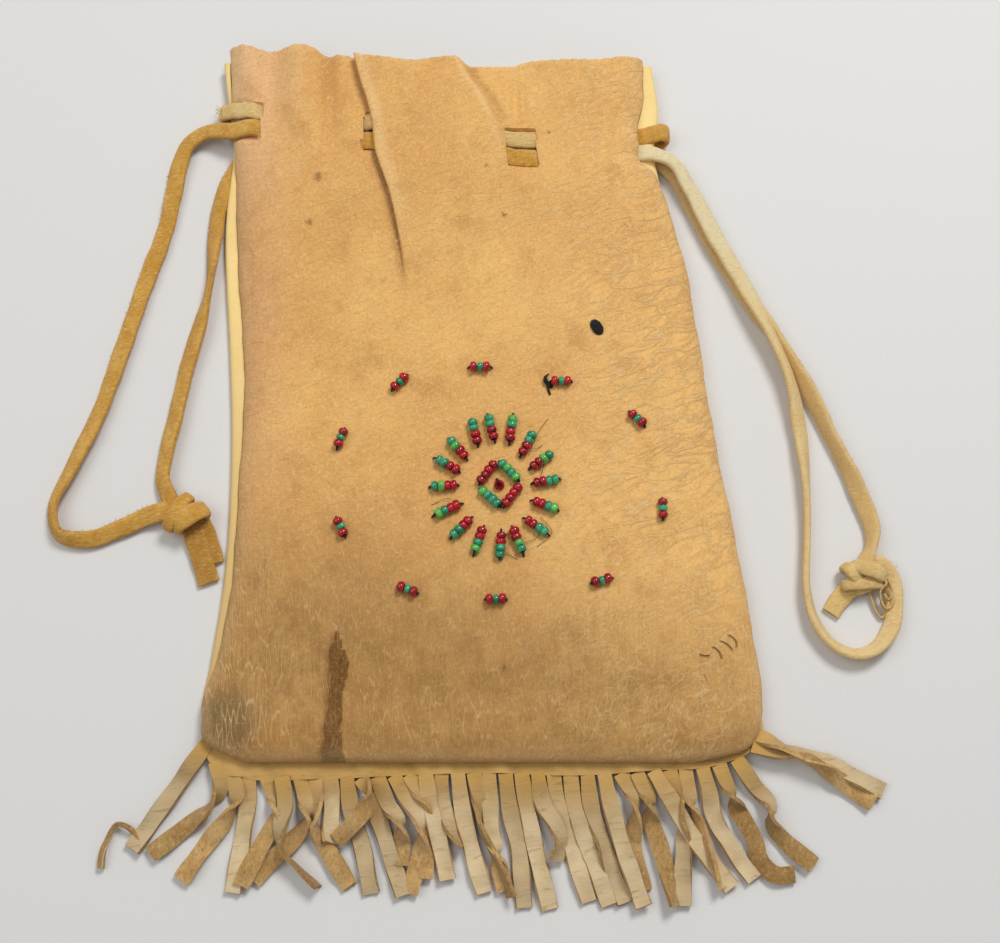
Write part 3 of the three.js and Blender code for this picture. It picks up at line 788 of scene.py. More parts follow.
def ribbon(knots, width, root=True):
    """A strip of hide through knots of x, y, roll in degrees and height above what it lies on."""
    line = follow(knots, 1.1)
    roll = np.radians(line[:, 2])
    steps = np.arange(len(line))
    share = steps / steps[-1]
    widths = width * (1 + 0.05 * np.sin(0.5 * steps + line[0, 0]))
    widths = widths * (0.9 + 0.14 * ease(share, 0, 0.25)) if root else widths
    roll = roll + 0.16 * np.sin(0.42 * steps + line[0, 0] * 5) * ease(share, 0.1, 0.35)
    half_high = widths / 2 * abs(np.sin(roll)) + FRINGE_HIDE / 2 * abs(np.cos(roll))
    kink = (0.34 + 0.34 * np.sin(0.5 * steps + line[0, 0] * 3)) * ease(share, 0.05, 0.3)
    kink = kink + 0.12 * (1 + np.sin(1.3 * steps + line[0, 0])) * ease(share, 0.1, 0.3)
    height = fringe_floor(line[:, 1]) + half_high + line[:, 3] + kink - 0.03 * (share < 0.08)
    points = np.stack([line[:, 0], line[:, 1], height], axis=1)
    along = headings(points)
    side = np.cross(along, (0, 0, 1))
    side /= np.linalg.norm(side, axis=1)[:, None]
    up = np.cross(side, along)
    leaning = side * np.cos(roll)[:, None] + up * np.sin(roll)[:, None]
    facing = up * np.cos(roll)[:, None] - side * np.sin(roll)[:, None]

    def place(column, row):
        across = column / STRIP_COLUMNS * 2 - 1
        cup = 0.4 * (across**2 - 0.5) * ease(share, 0.1, 0.4)[row]
        spot = points[row] + leaning[row] * (across * widths[row] / 2)[:, None] + facing[row] * cup[:, None]
        shade = ease(share[row], 0.0, 0.16) * ease(share[row], 0.5, 0.2)
        age = 0.5 + 0.5 * math.sin(5.3 * line[0, 0]) + 0 * shade
        return spot[:, 0], spot[:, 1], spot[:, 2], {"tip": share[row], "shade": shade, "age": age}

    return lay_sheet("strip", STRIP_COLUMNS, len(line) - 1, place)


# x, y, roll and height of each strip's knots, from the left. Half a turn shows the flesh side.
STRIPS = [
    [(-75.6, -79.4, 0, 0.2), (-84.5, -92.4, 2, 0), (-93.8, -106.2, 0, 0)],
    [(-73.0, -84.2, 0, 0), (-71.6, -91.2, 40, 0.2), (-74.2, -95.6, 120, 0), (-80.5, -100.8, 178, 0),
     (-88.9, -107.5, 182, 0)],
    [(-69.0, -86.4, 0, 0), (-67.2, -92.6, -30, 0), (-68.8, -97.4, -110, 0), (-73.4, -103.2, -175, 0),
     (-80.8, -114.0, -180, 0)],
    [(-64.2, -87.4, 0, 0), (-64.8, -99, 0, 0), (-66.4, -110, 0, 0), (-67.4, -117.0, 6, 0)],
    [(-59.8, -87.6, 0, 0), (-57.4, -93.4, 20, 0), (-56.8, -97.6, 110, 0), (-60.4, -105.4, 180, 1.2),
     (-65.2, -115.3, 182, 1.1)],
    [(-55.5, -87.8, 0, 1.6), (-54.4, -95.2, -6, 2.4), (-55.3, -101.6, -40, 2.6), (-55.2, -106.2, -82, 1.4),
     (-51.0, -110.6, -96, 0), (-45.3, -115.7, -92, 0)],
    [(-51.0, -88.0, 0, 0), (-49.2, -94.0, 20, 0), (-48.6, -98.6, 100, 0), (-53.0, -104.6, 176, 0),
     (-58.0, -109.4, 180, 0), (-62.4, -114.0, 180, 0)],
    [(-46.8, -88.0, 0, 0), (-46.2, -95.4, -60, 0), (-46.4, -101.4, -110, 0), (-43.4, -106.2, -170, 0),
     (-37.4, -115.6, -182, 0)],
    [(-43.0, -87.8, 0, 0), (-42.6, -94.4, 0, 0), (-42.6, -100.6, 20, 0), (-42.6, -104.6, 60, 0)],
    [(-38.8, -87.6, 0, 0), (-37.6, -95.6, 0, 0), (-34.4, -105.6, 0, 0), (-31.9, -117.2, 0, 0)],
    [(-35.0, -88.2, 0, 0), (-32.2, -93.0, -100, 2.2), (-34.6, -97.6, -176, 3.6), (-41.0, -104.0, -184, 1.6)],
    [(-30.8, -87.6, 0, 0), (-27.6, -95.2, 4, 0.2), (-24.6, -99.6, 60, 0.6), (-24.2, -103.6, 160, 0.2),
     (-24.4, -110.2, 176, 0)],
    [(-33.0, -92.2, 0, 0), (-29.6, -100.4, 0, 0), (-26.6, -108.8, 0, 0), (-23.6, -117.8, 0, 0)],
    [(-26.6, -87.4, 0, 0), (-22.6, -93.6, 6, 1.0), (-19.4, -99.2, 50, 1.4), (-18.9, -104.2, 130, 0.6),
     (-20.2, -110.8, 172, 0), (-22.0, -117.2, 176, 0)],
    [(-22.6, -87.2, 0, 0), (-20.2, -91.4, 30, 0), (-18.0, -98.0, 170, 0), (-18.0, -106, 180, 0),
     (-18.4, -113.6, 180, 0)],
    [(-18.2, -87.0, 0, 0.3), (-17.0, -94.6, 0, 1.4), (-14.4, -104.2, 0, 1.0), (-12.3, -113.9, 0, 0)],
    [(-14.0, -87.0, 0, 0), (-14.2, -92.6, 0, 0), (-12.4, -98.6, 30, 0), (-8.6, -105.6, 80, 0)],
    [(-9.8, -86.8, 0, 0.4), (-8.6, -95.6, 0, 1.0), (-6.0, -106.4, 0, 0.6), (-2.8, -117.1, 0, 0)],
    [(-5.6, -86.8, 0, 0), (-4.4, -93.0, 30, 0), (-4.2, -99.2, 80, 0), (-1.2, -106.0, 110, 0),
     (2.2, -113.0, 96, 0), (4.0, -118.2, 120, 0)],
    [(-1.6, -86.8, 0, 0), (-1.4, -95.4, 0, 0), (-0.6, -103.4, 14, 0), (1.2, -111.4, 160, 0),
     (2.6, -116.6, 180, 0)],
    [(2.6, -86.8, 0, 0.3), (3.6, -95.0, 0, 0), (6.0, -106.4, 0, 0), (7.4, -120.8, 0, 0)],
    [(6.8, -86.8, 0, 0.3), (8.2, -95.6, 0, 0), (10.4, -106.4, 0, 0), (14.0, -121.2, 0, 0)],
    [(11.0, -86.8, 0, 0), (12.6, -95.2, 0, 0.6), (15.8, -100.6, 30, 1.2), (16.9, -104.4, 60, 0.8),
     (15.4, -109.2, 30, 0)],
    [(15.2, -87.0, 0, 0), (16.4, -95.6, 0, 0), (19.9, -106.4, 0, 0), (24.0, -119.2, 0, 0)],
    [(19.6, -87.2, 0, 0), (20.6, -95.6, 0, 0.3), (24.2, -106.4, 0, 0.5), (29.2, -120.1, 0, 0)],
    [(24.0, -87.0, 0, 0), (25.0, -95.8, 10, 0), (28.0, -105.4, 34, 0), (30.4, -112.6, 10, 0),
     (33.4, -119.6, 0, 0)],
    [(28.4, -87.0, 0, 0.3), (30.2, -96.0, 0, 1.5), (33.4, -107.4, 0, 2.0), (37.9, -120.5, 0, 1.2)],
    [(32.6, -86.8, 0, 0), (35.8, -92.4, 20, 0), (36.2, -98.0, 120, 0), (35.6, -104.6, 176, 0),
     (38.0, -116.6, 190, 0)],
    [(36.8, -86.6, 0, 0), (39.6, -92.6, 30, 0), (40.4, -98.6, 160, 0), (42.6, -106.0, 184, 0),
     (46.0, -120.4, 230, 0)],
    [(41.2, -86.2, 0, 0.3), (45.2, -93.2, 0, 1.8), (50.2, -102.0, 0, 2.0), (56.0, -109.8, 0, 0.8),
     (60.7, -115.9, 0, 0)],
    [(45.4, -86.0, 0, 0), (47.2, -92.6, -40, 0), (48.4, -99.4, -85, 0), (48.6, -104.2, -50, 0),
     (48.2, -112.0, -6, 0), (48.2, -120.4, 0, 0)],
    [(49.6, -85.6, 0, 0), (50.2, -92.0, 30, 0), (52.0, -98.8, 120, 0), (54.6, -106.0, 110, 0),
     (58.6, -115.8, 40, 0)],
    [(54.0, -85.2, 0, 0.2), (55.6, -91.6, 14, 0), (56.6, -97.4, -12, 0), (60.8, -105.6, 8, 0),
     (66.6, -113.7, 0, 0)],
    [(58.4, -84.8, 0, 0), (60.6, -90.6, 30, 0), (63.2, -96.6, 160, 0), (67.0, -104.0, 186, 0),
     (68.6, -109.6, 150, 0), (72.0, -112.6, 174, 0), (77.0, -112.4, 180, 0)],
    [(63.0, -83.2, 0, 0.2), (67.0, -89.4, 14, 0), (71.2, -95.0, 40, 0), (71.2, -99.4, 100, 0),
     (74.8, -104.0, 170, 0), (82.0, -110.2, 182, 0)],
    [(67.0, -79.9, 0, 1.4), (73.0, -81.4, 30, 0.4), (80.6, -81.8, 60, 0), (88.0, -84.8, 30, 0),
     (94.4, -88.2, 8, 0), (101.0, -91.4, 0, 0)],
    [(68.6, -77.2, 0, 1.4), (73.4, -79.6, 60, 0.6), (80.0, -83.4, 80, 0), (88.0, -87.6, 150, 0),
     (98.3, -94.4, 176, 0)],
]
PARING = [
    (-92.2, -104.2, 20, 0.2), (-94.8, -100.8, 60, 0.6), (-97.9, -99.9, 80, 0.8), (-100.2, -103.6, 60, 0.2),
    (-101.3, -107.4, 40, 0), (-101.5, -111.0, 30, 0),
]


def join_pieces(name, pieces):
    pick(*pieces)
    bpy.ops.object.join()
    pieces[0].name = name
    return pieces[0]


header = lay_sheet("header", HEADER_COLUMNS, HEADER_ROWS, place_header)
strips = [ribbon(knots, STRIP_WIDTH) for knots in STRIPS]
fringe = join_pieces("fringe_strips", [header, *strips, ribbon(PARING, 1.3, root=False)])

grain = Finish("fringe_grain_finish", {"Roughness": 0.76, "Specular IOR Level": 0.28})
strip_tip = grain.mark("tip")
grain_cloud = grain.noise((9, 12, 9), 4, 0, 0.6)
creases = grain.noise((6, 1.4, 6), 3, 8, 0.6, 0.6)
grain_pores = grain.noise((0.5, 0.6, 0.5), 3, 0, 0.7)
grain.give("Base Color", grain.coats(
    tone(228, 204, 160),
    (grain_cloud.between(0.3, 0.72), tone(202, 172, 122)),
    (grain.mark("age") * 0.5, tone(164, 132, 84)),
    (strip_tip.between(0.4, 0.0) * 0.75, tone(206, 156, 68)),
    (strip_tip.between(0.2, 0.5) * 0.22, tone(222, 204, 168)),
    (grain.mark("shade") * 0.25, tone(120, 96, 56)),
    (creases.between(0.56, 0.74) * 0.45, tone(140, 108, 64)),
    (grain_pores.between(0.6, 0.8) * 0.3, tone(142, 106, 60)),
))
grain.relief(grain_pores * 0.08 + creases * 0.25)

flesh = Finish("fringe_flesh_finish", {"Roughness": 0.95, "Specular IOR Level": 0.12, "Sheen Weight": 0.2})
flesh_nap = flesh.noise((0.8, 1.3, 0.8), 5, 0, 0.8, 0.3)
flesh.give("Base Color", flesh.coats(
    tone(232, 190, 126),
    (flesh.noise((7, 9, 7), 3).between(0.3, 0.7), tone(202, 158, 96)),
    (flesh.mark("age") * 0.62, tone(142, 106, 56)),
    (flesh_nap.between(0.5, 0.68) * 0.55, tone(120, 80, 34)),
    (flesh_nap.between(0.47, 0.32) * 0.6, tone(244, 206, 140)),
))
flesh.relief(flesh_nap * 0.45)

thicken(fringe, FRINGE_HIDE, 0, grain, flesh)
settle(fringe, ["fringe"], smooth=45)


# ---- beads ---------------------------------------------------------------------------------------------
# Round glass seed beads in crimson, teal and leaf green, four or three to a stitch, sewn on with black
# thread. The thread comes up through the hide, runs through the beads and goes down again.

BEAD_RADIUS = 1.45
BEAD_WALL = 0.49
BEAD_LENGTH = 1.74
rng = np.random.default_rng(11)

bpy.ops.mesh.primitive_torus_add(
    major_radius=(BEAD_RADIUS - BEAD_WALL) * MM, minor_radius=BEAD_WALL * MM,
    major_segments=16, minor_segments=8,
)
bead = bpy.context.object
bpy.ops.object.mode_set(mode="EDIT")
bpy.ops.mesh.select_all(action="SELECT")
bpy.ops.transform.resize(value=(1, 1, BEAD_LENGTH / 2 / BEAD_WALL))
bpy.ops.object.mode_set(mode="OBJECT")

gathered = {"red": [], "teal": [], "leaf": []}
threads = []


def on_hide(x, y):
    return float(hide_height(np.array([float(x)]), np.array([float(y)]))[0])


def sew_bead(group, colour, pose):
    made = bead.copy()
    made.data = bead.data.copy()
    bpy.context.collection.objects.link(made)
    made.data.transform(pose)
    gathered[colour].append((group, made))


def sew_row(group, start, end, colours, ends):
    """Beads between two points on the front, and the thread that holds them and shows past both ends."""
    start = np.array([*start, on_hide(*start) + BEAD_RADIUS - 0.1])
    end = np.array([*end, on_hide(*end) + BEAD_RADIUS - 0.1])
    middle = (start + end) / 2
    run = (end - start) / np.linalg.norm(end - start)
    count = len(colours)
    turn = Vector(run).to_track_quat("Z", "Y").to_matrix().to_4x4()
    for number, colour in enumerate(colours):
        size = rng.uniform(0.94, 1.05) * (0.88 if group == "triples" and number == 1 else 1)
        lean = Matrix.Rotation(rng.uniform(-0.1, 0.1), 4, "X")
        lean = lean @ Matrix.Rotation(rng.uniform(-0.12, 0.12), 4, "Y")
        place = middle + run * BEAD_LENGTH * (number - (count - 1) / 2)
        place = place + np.array([*rng.uniform(-0.09, 0.09, 2), 0])
        sew_bead(group, colour, Matrix.Translation(Vector(place * MM)) @ turn @ lean @ Matrix.Scale(size, 4))
    half = count * BEAD_LENGTH / 2
    first = middle - run * half
    last = middle + run * half
    down = np.array([0, 0, -BEAD_RADIUS - 0.5])
    threads.append([
        first - run * ends[0] + down, first - run * ends[0] * 0.75 + down * 0.5, first - run * 0.1, middle,
        last + run * 0.1, last + run * ends[1] * 0.75 + down * 0.5, last + run * ends[1] + down,
    ])


R, T, L = "red", "teal", "leaf"
PETALS = [  # outer end, inner end, the outer bead and the next one
    ((-6.4, 6.4), (-5, 0.5), T, T), ((-2, 7.6), (-0.4, 1.4), T, T), ((4.6, 7.4), (3.8, 1), L, T),
    ((10.2, 3), (7, -2.8), T, T), ((14.8, -2.9), (9.8, -6.4), T, L), ((16.4, -9.8), (10.7, -10.8), T, T),
    ((16.2, -18), (10.4, -15.9), L, T), ((13.6, -24.6), (8, -20.8), T, T), ((7.2, -30), (4.6, -23.2), T, L),
    ((1.1, -31.4), (1.5, -24.4), T, T), ((-5.6, -29.8), (-3.2, -23), L, T),
    ((-11.7, -25.8), (-6.6, -20.6), T, T), ((-15.9, -19.6), (-9.6, -16.8), L, T),
    ((-17.3, -11.9), (-10.2, -11.4), T, L),
    ((-15.8, -4.2), (-10.1, -7.4), T, T), ((-12.6, 1.5), (-7.8, -4.1), T, L),
]
for outer, inner, first, second in PETALS:
    sew_row("petals", outer, inner, [first, second, R, R], rng.uniform(0.35, 1.3, 2))

DIAMOND = [(-4.9, -11.8), (0.4, -4.2), (6.9, -10.8), (1.9, -18)]
SIDES = [[R, R, R, R], [T, L, T, L], [R, R, R, R], [T, T, T, L]]
for number, colours in enumerate(SIDES):
    corner = np.array(DIAMOND[number])
    side = np.array(DIAMOND[(number + 1) % 4]) - corner
    sew_row("diamond", corner + side * 0.1, corner + side * 0.9, colours, (0.5, 0.5))

TRIPLES = [
    ((-26.2, 17.6), 45), ((-4.3, 21.8), 0), ((17.9, 17.9), 0), ((38.5, 7.6), -45), ((44.7, -17.6), 90),
    ((28, -37.3), 15), ((0.1, -42.4), 0), ((-23.2, -39.7), -20), ((-41.3, -22.6), -65), ((-41.9, 2.2), 70),
]
for (x, y), heading in TRIPLES:
    middle = np.array([x, y])
    reach = np.array([math.cos(math.radians(heading)), math.sin(math.radians(heading))]) * 2.5
    sew_row("triples", middle - reach, middle + reach, [R, T, R], rng.uniform(0.3, 1.0, 2))

# The middle bead stands on its end, with the thread coming out of its hole.
CENTRE_X, CENTRE_Y = 1.0, -11.4
centre_z = on_hide(CENTRE_X, CENTRE_Y)
centre_place = Vector((CENTRE_X, CENTRE_Y, centre_z + 0.75)) * MM
sew_bead("diamond", R, Matrix.Translation(centre_place) @ Matrix.Rotation(0.25, 4, "X"))
threads.append([
    np.array([CENTRE_X + x, CENTRE_Y + y, centre_z + z])
    for x, y, z in [(0, 0, -0.5), (-0.05, 0.1, 1.2), (-0.2, 0.5, 1.9), (-0.5, 1.3, 1.5), (-0.8, 1.8, -0.4)]
])
bpy.data.objects.remove(bead)


def glass(name, deep, bright):
    finish = Finish(name, {"Specular IOR Level": 0.5, "Coat Weight": 0.4, "Coat Roughness": 0.03})
    tint = finish.noise((2.1, 2.1, 2.1), 2)
    finish.give("Base Color", finish.mix(tint.between(0.3, 0.7), deep, bright))
    finish.give("Roughness", finish.noise((0.5, 0.5, 0.5), 3).between(0.2, 0.9) * 0.16 + 0.07)
    finish.relief(finish.noise((0.8, 0.8, 0.8), 2) * 0.03)
    return finish


glasses = {
    "red": glass("crimson_glass", tone(128, 0, 12), tone(196, 6, 28)),
    "teal": glass("teal_glass", tone(22, 116, 78), tone(64, 170, 120)),
    "leaf": glass("leaf_glass", tone(62, 150, 62), tone(110, 196, 90)),
}
NODES_OF = {
    ("petals", "red"): [f"petal_{n:02d}" for n in range(1, 17)],
    ("diamond", "red"): ["diamond_side_1", "diamond_side_3", "centre_bead"],
    ("diamond", "teal"): ["diamond_side_2", "diamond_side_4"],
    ("triples", "red"): [f"triple_{n:02d}" for n in range(1, 11)],
}
for colour, made_beads in gathered.items():
    for group in sorted({name for name, piece in made_beads}):
        alike = [piece for name, piece in made_beads if name == group]
        beads = join_pieces(f"{group}_beads_{colour}", alike)
        slot = "red_glass" if colour == "red" else "green_glass"
        settle(beads, NODES_OF.get((group, colour), []), glasses[colour])


# ---- bead thread ---------------------------------------------------------------------------------------
# Waxed black cotton. Its stitches show at the ends of each row and between beads, with a lump where a bead
# was lost and a tuft where the thread was made off.

def strand(name, points, thickness, sides=6):
    """A thread along points, its ends closed."""
    points = np.array(points, float)
    run = np.concatenate([[0], np.cumsum(np.linalg.norm(np.diff(points, axis=0), axis=1))])
    line = through(run, points, np.linspace(0, run[-1], max(6, round(run[-1] / 0.45))))
    line = np.concatenate([line[:1], line, line[-1:]])
    size = np.ones(len(line))
    size[[0, -1]] = 0
    before = line[1:2] - (line[2:3] - line[1:2]) * 0.1
    after = line[-2:-1] + (line[-2:-1] - line[-3:-2]) * 0.1
    along = headings(np.concatenate([before, line[1:-1], after]))
    side = np.cross(along, (0.31, 0.17, 0.93))
    side /= np.linalg.norm(side, axis=1)[:, None]
    up = np.cross(side, along)

    def place(column, row):
        angle = -column / sides * 2 * math.pi
        reach = thickness / 2 * size[row]
        spot = line[row] + side[row] * (np.cos(angle) * reach)[:, None]
        spot = spot + up[row] * (np.sin(angle) * reach)[:, None]
        return spot[:, 0], spot[:, 1], spot[:, 2], {}

    return lay_sheet(name, sides, len(line) - 1, place)


STITCH = 0.62  # thickness of the thread
made_threads = [strand("stitch", points, STITCH) for points in threads]


def tangle(middle, spread, count, length, thickness):
    """Loose turns of thread lying on the hide."""
    for _ in range(count):
        at = np.array(middle) + rng.normal(0, 1, 2) * spread
        heading = rng.uniform(0, 2 * math.pi)
        points = []
        for step in range(5):
            points.append([*at, on_hide(*at) + 0.25 + 0.5 * rng.random()])
            heading += rng.uniform(-1.3, 1.3)
            at = at + np.array([math.cos(heading), math.sin(heading)]) * length / 4
        made_threads.append(strand("loose_thread", points, thickness))


# Where a bead was lost, its stitches lie packed side by side.
LOST_X, LOST_Y = 27.9, 34.0
for turn in np.linspace(-1, 1, 9):
    half = 2.15 * math.sqrt(1.05 - turn * turn * 0.8)
    points = []
    for share in (-1, -0.8, -0.3, 0.3, 0.8, 1):
        x = LOST_X + 0.52 * half * share + 1.05 * turn
        y = LOST_Y - 0.86 * half * share + 0.62 * turn
        points.append([x, y, on_hide(x, y) + (0.75 if abs(share) < 1 else -0.2) - 0.35 * turn * turn])
    made_threads.append(strand("packed_thread", points, 0.66))
tangle((27.2, 35.8), (0.3, 0.2), 3, 1.3, 0.3)
# The thread was made off at one end of a row. x, y and height above the hide.
MADE_OFF = [(14.0, 19.9, -0.2), (13.3, 18.8, 0.9), (13.4, 17.6, 1.1), (14.4, 16.7, 0.5), (14.9, 16.2, -0.2)]
THREAD_TAIL = [(14.0, 17.0, 0.6), (14.4, 15.6, 0.4), (14.8, 14.2, 0.15)]
for turn in np.linspace(0, 1, 5):
    points = []
    for x, y, rise in MADE_OFF:
        aside = turn * (0.7 if y < 18 else 0.4)
        points.append([x + aside, y + 0.3 * turn, on_hide(x, y) + rise * (1 - 0.2 * turn)])
    made_threads.append(strand("made_off", points, STITCH))
thread_tail = [[x, y, on_hide(x, y) + rise] for x, y, rise in THREAD_TAIL]
made_threads.append(strand("thread_tail", thread_tail, 0.7))
bead_thread = join_pieces("bead_thread", made_threads)
tidy_mesh(bead_thread)
cotton = Finish("black_cotton_finish", {"Roughness": 0.82, "Specular IOR Level": 0.25, "Sheen Weight": 0.2})
twist = cotton.noise((0.25, 0.25, 0.25), 3)
cotton.give("Base Color", cotton.mix(twist.between(0.35, 0.7), tone(14, 12, 12), tone(44, 38, 36)))
cotton.relief(twist * 0.15)
settle(bead_thread, [], cotton)

# A few brown hairs have caught under the rosette's beads.
HAIRS = [
    ((9, -3), (11.4, 3.2), (14.2, 7.4)), ((13.2, -4.6), (12.4, -8.2), (11.8, -2.6)),
    ((12.0, -20.0), (15.0, -24.2), (11.0, -28.2)), ((6.6, -27.6), (10.2, -26.2), (13.8, -22.4)),
    ((3.4, -24.0), (1.6, -28.4), (5.8, -31.8)), ((-9.0, -18.2), (-12.6, -15.2), (-17.2, -16.8)),
    ((8.6, 0.4), (10.4, -1.4), (12.6, -0.2)),
]
HAIR_RISES = (0.4, 0.8, 0.1)
caught = []
for spots in HAIRS:
    points = [[x, y, on_hide(x, y) + rise] for (x, y), rise in zip(spots, HAIR_RISES)]
    caught.append(strand("hair", points, 0.15, 5))
hairs = join_pieces("caught_hairs", caught)
tidy_mesh(hairs)
hair = Finish("hair_finish", {"Roughness": 0.5})
hair_tint = hair.noise((1, 1, 1), 2).between(0.3, 0.7)
hair.give("Base Color", hair.mix(hair_tint, tone(92, 58, 34), tone(140, 92, 52)))
settle(hairs, [], hair)


# ---- lacing --------------------------------------------------------------------------------------------
# Two thongs of soft suede run side by side round the mouth, one ochre and one pale. Each goes in and out of
# the slits along the front, turns round the far side and comes back under the back panel.

THONG_WIDTH = 5.1
THONG_THICK = 1.75
ROW_APART = 2.8


def sweep_thong(name, points, sides, widths, thick=THONG_THICK, around=16):
    """A flat thong with worn corners along points. sides say which way its width runs."""
    points = np.array(points, float)
    along = headings(points)
    sides = sides - (sides * along).sum(axis=1)[:, None] * along
    sides = sides / np.linalg.norm(sides, axis=1)[:, None]
    up = np.cross(sides, along)
    points = np.concatenate([points[:1], points, points[-1:]])
    sides = np.concatenate([sides[:1], sides, sides[-1:]])
    up = np.concatenate([up[:1], up, up[-1:]])
    widths = np.concatenate([[0], widths, [0]])
    steps = np.arange(len(points))

    def place(column, row):
        angle = -column / around * 2 * math.pi
        c = np.cos(angle)
        s = np.sin(angle)
        wobble = 1 + 0.035 * np.sin(steps[row] * 0.9 + 2 * c + len(points))
        reach = widths[row] / 2 * np.sign(c) * abs(c) ** 0.62 * wobble
        rise = thick / 2 * np.sign(s) * abs(s) ** 0.75 * (widths[row] > 0)
        spot = points[row] + sides[row] * reach[:, None] + up[row] * rise[:, None]
        marks = {"skin": ease(s, 0.1, 0.6), "edge": abs(c) ** 3, "run": row / (len(points) - 1)}
        return spot[:, 0], spot[:, 1], spot[:, 2], marks

    made = lay_sheet(name, around, len(points) - 1, place)
    tidy_mesh(made)
    return made


def rolled(knots, step, width=THONG_WIDTH, thick=THONG_THICK):
    """Middle line, sides and widths of a thong through knots of x, y, underside, and roll in degrees."""
    line = follow(knots, step)
    roll = np.radians(line[:, 3])
    widths = width * (1 + 0.04 * np.sin(np.arange(len(line)) * 0.31))
    middle = line[:, :3].copy()
    middle[:, 2] += widths * 0.46 * abs(np.sin(roll)) + thick / 2 * abs(np.cos(roll))
    along = headings(middle)
    side = np.cross(along, (0, 0, 1))
    side /= np.linalg.norm(side, axis=1)[:, None]
    up = np.cross(side, along)
    return middle, side * np.cos(roll)[:, None] + up * np.sin(roll)[:, None], widths


def row_y(own, x):
    """y of a row of lacing along the front: own is 1 for the upper row and -1 for the lower."""
    shifted = (0.7 if own > 0 else 1.0) * float(ease(x, -56, -68))
    return float(row_middle(x)) + own * ROW_APART + shifted


def outside(own, x):
    y = row_y(own, x)
    return (x, y, on_hide(x, y) + 0.02)


def inside_front(own, x):
    y = row_y(own, x)
    lowest = 2.9 if own > 0 else 2.7
    return (x, y, max(on_hide(x, y) - LEATHER - THONG_THICK - 0.3, lowest))


def through_windows(own):
    """The run along the front between the first slit and the right side."""
    hidden = (-66.2, -60, -50, -42.5, -39.4, -31.4, -24, -14, -5, 0.6, 13.4)
    shown = (-36.8, -35.0, 3.4, 5.4, 8.2, 10.8)
    places = {inside_front: hidden, outside: shown}
    run = [lie(own, x) for lie, spots in places.items() for x in spots]
    return sorted(run)


def flat_run(knots):
    """A run whose width lies along Y, for the stretches that climb through slits and round the sides."""
    return follow([(x, y, z + THONG_THICK / 2) for x, y, z in knots], 0.8)


def around_side(x_out, own, toward, top, bulge=0.0):
    """The turn round one side, from the front down to the table. toward is 1 at the right."""
    y = row_y(own, x_out)
    points = []
    for angle in np.radians(np.arange(90, -100, -15)):
        reach = (1.55 + bulge) * math.cos(angle)
        rise = (top - 0.95) / 2 * math.sin(angle)
        points.append((x_out + toward * reach, y, (top + 0.95) / 2 + rise))
    return np.array(points)


def suede_thong(name, light, mid, dark, pale_top=None, back_leg=None):
    finish = Finish(name, {"Roughness": 0.93, "Specular IOR Level": 0.14, "Sheen Weight": 0.22})
    fuzz = finish.noise((1.6, 0.55, 0.8), 5, 14, 0.8, 0.4)
    patch = finish.noise((5, 8, 5), 4, 0, 0.6)
    skin = (finish.mark("skin") + (patch - 0.5) * 0.5).between(0.2, 0.8)
    colour = finish.coats(mid, (patch.between(0.35, 0.7), light), ((1 - skin) * 0.75, dark))
    if pale_top:
        colour = finish.mix((finish.along(1) + (patch - 0.5) * 30).between(20, 75) * 0.65, colour, pale_top)
    if back_leg:
        behind = (finish.mark("run") + (patch - 0.5) * 0.06).between(0.55, 0.62)
        colour = finish.mix(behind * 0.75, colour, back_leg)
    finish.give("Base Color", finish.coats(
        colour,
        # Painted highlight along the thong's edges.
        (finish.mark("edge") * 0.45, light),
        # Painted shade among the nap's fibres.
        (fuzz.between(0.5, 0.66) * 0.36, (dark[0] * 0.62, dark[1] * 0.42, dark[2] * 0.24, 1)),
        (fuzz.between(0.48, 0.34) * 0.5, tone(255, 228, 168)),
    ))
    finish.relief(fuzz * 0.6)
    return finish


ochre = suede_thong("ochre_thong_finish", tone(240, 185, 84), tone(220, 159, 54), tone(188, 134, 54))
ivory = suede_thong(
    "pale_thong_finish", tone(255, 228, 164), tone(255, 216, 146), tone(253, 208, 136), tone(255, 245, 202),
    tone(236, 190, 116),
)
# A darker copy of the pale thong's finish, for the lacing round the mouth and for the right knot.
darker_ivory = suede_thong(
    "darker_pale_thong_finish", tone(252, 216, 144), tone(238, 198, 122), tone(190, 150, 86)
)


def lace(side, runs, up, width, finish):
    """One thong through its runs in turn. up is 1 or -1, by the way its skin side faces."""
    line = np.concatenate(runs)
    sides = np.tile((0.0, float(up), 0.0), (len(line), 1))
    piece = sweep_thong(f"drawstring_{side}_lace", line, sides, np.full(len(line), width))
    settle(piece, [f"drawstring_{side}_lacing"], finish)


# Ochre: along the front, round the right side in the upper row, and back under the panel.
ochre_front = flat_run([
    *through_windows(-1), (19, row_y(-1, 19), 5.4),
    (26, row_middle(26), 4.6), (33, row_y(1, 33), 3.6), (40, row_y(1, 40), 3.2),
    (43, row_y(1, 43), 3.4), (45.4, row_y(1, 45.4), 4.1),
])
ochre_turn = around_side(46.9, 1, 1, 6.2, 0.9)
ochre_under = flat_run([
    (45.4, row_y(1, 45.4), 0.05), (40, row_y(1, 40), 0.05), (0, row_y(1, 0), 0.05),
    (-40, row_y(1, -40), 0.05), (-47, row_y(0.8, -47), 0.05), (-60, row_y(-0.8, -60), 0.05),
    (-70, row_y(-1, -70), 0.05), (-74, row_y(-1.2, -74), 0.05),
])
lace("left", [ochre_front, ochre_turn[1:-1], ochre_under], -1, 5.3, ochre)

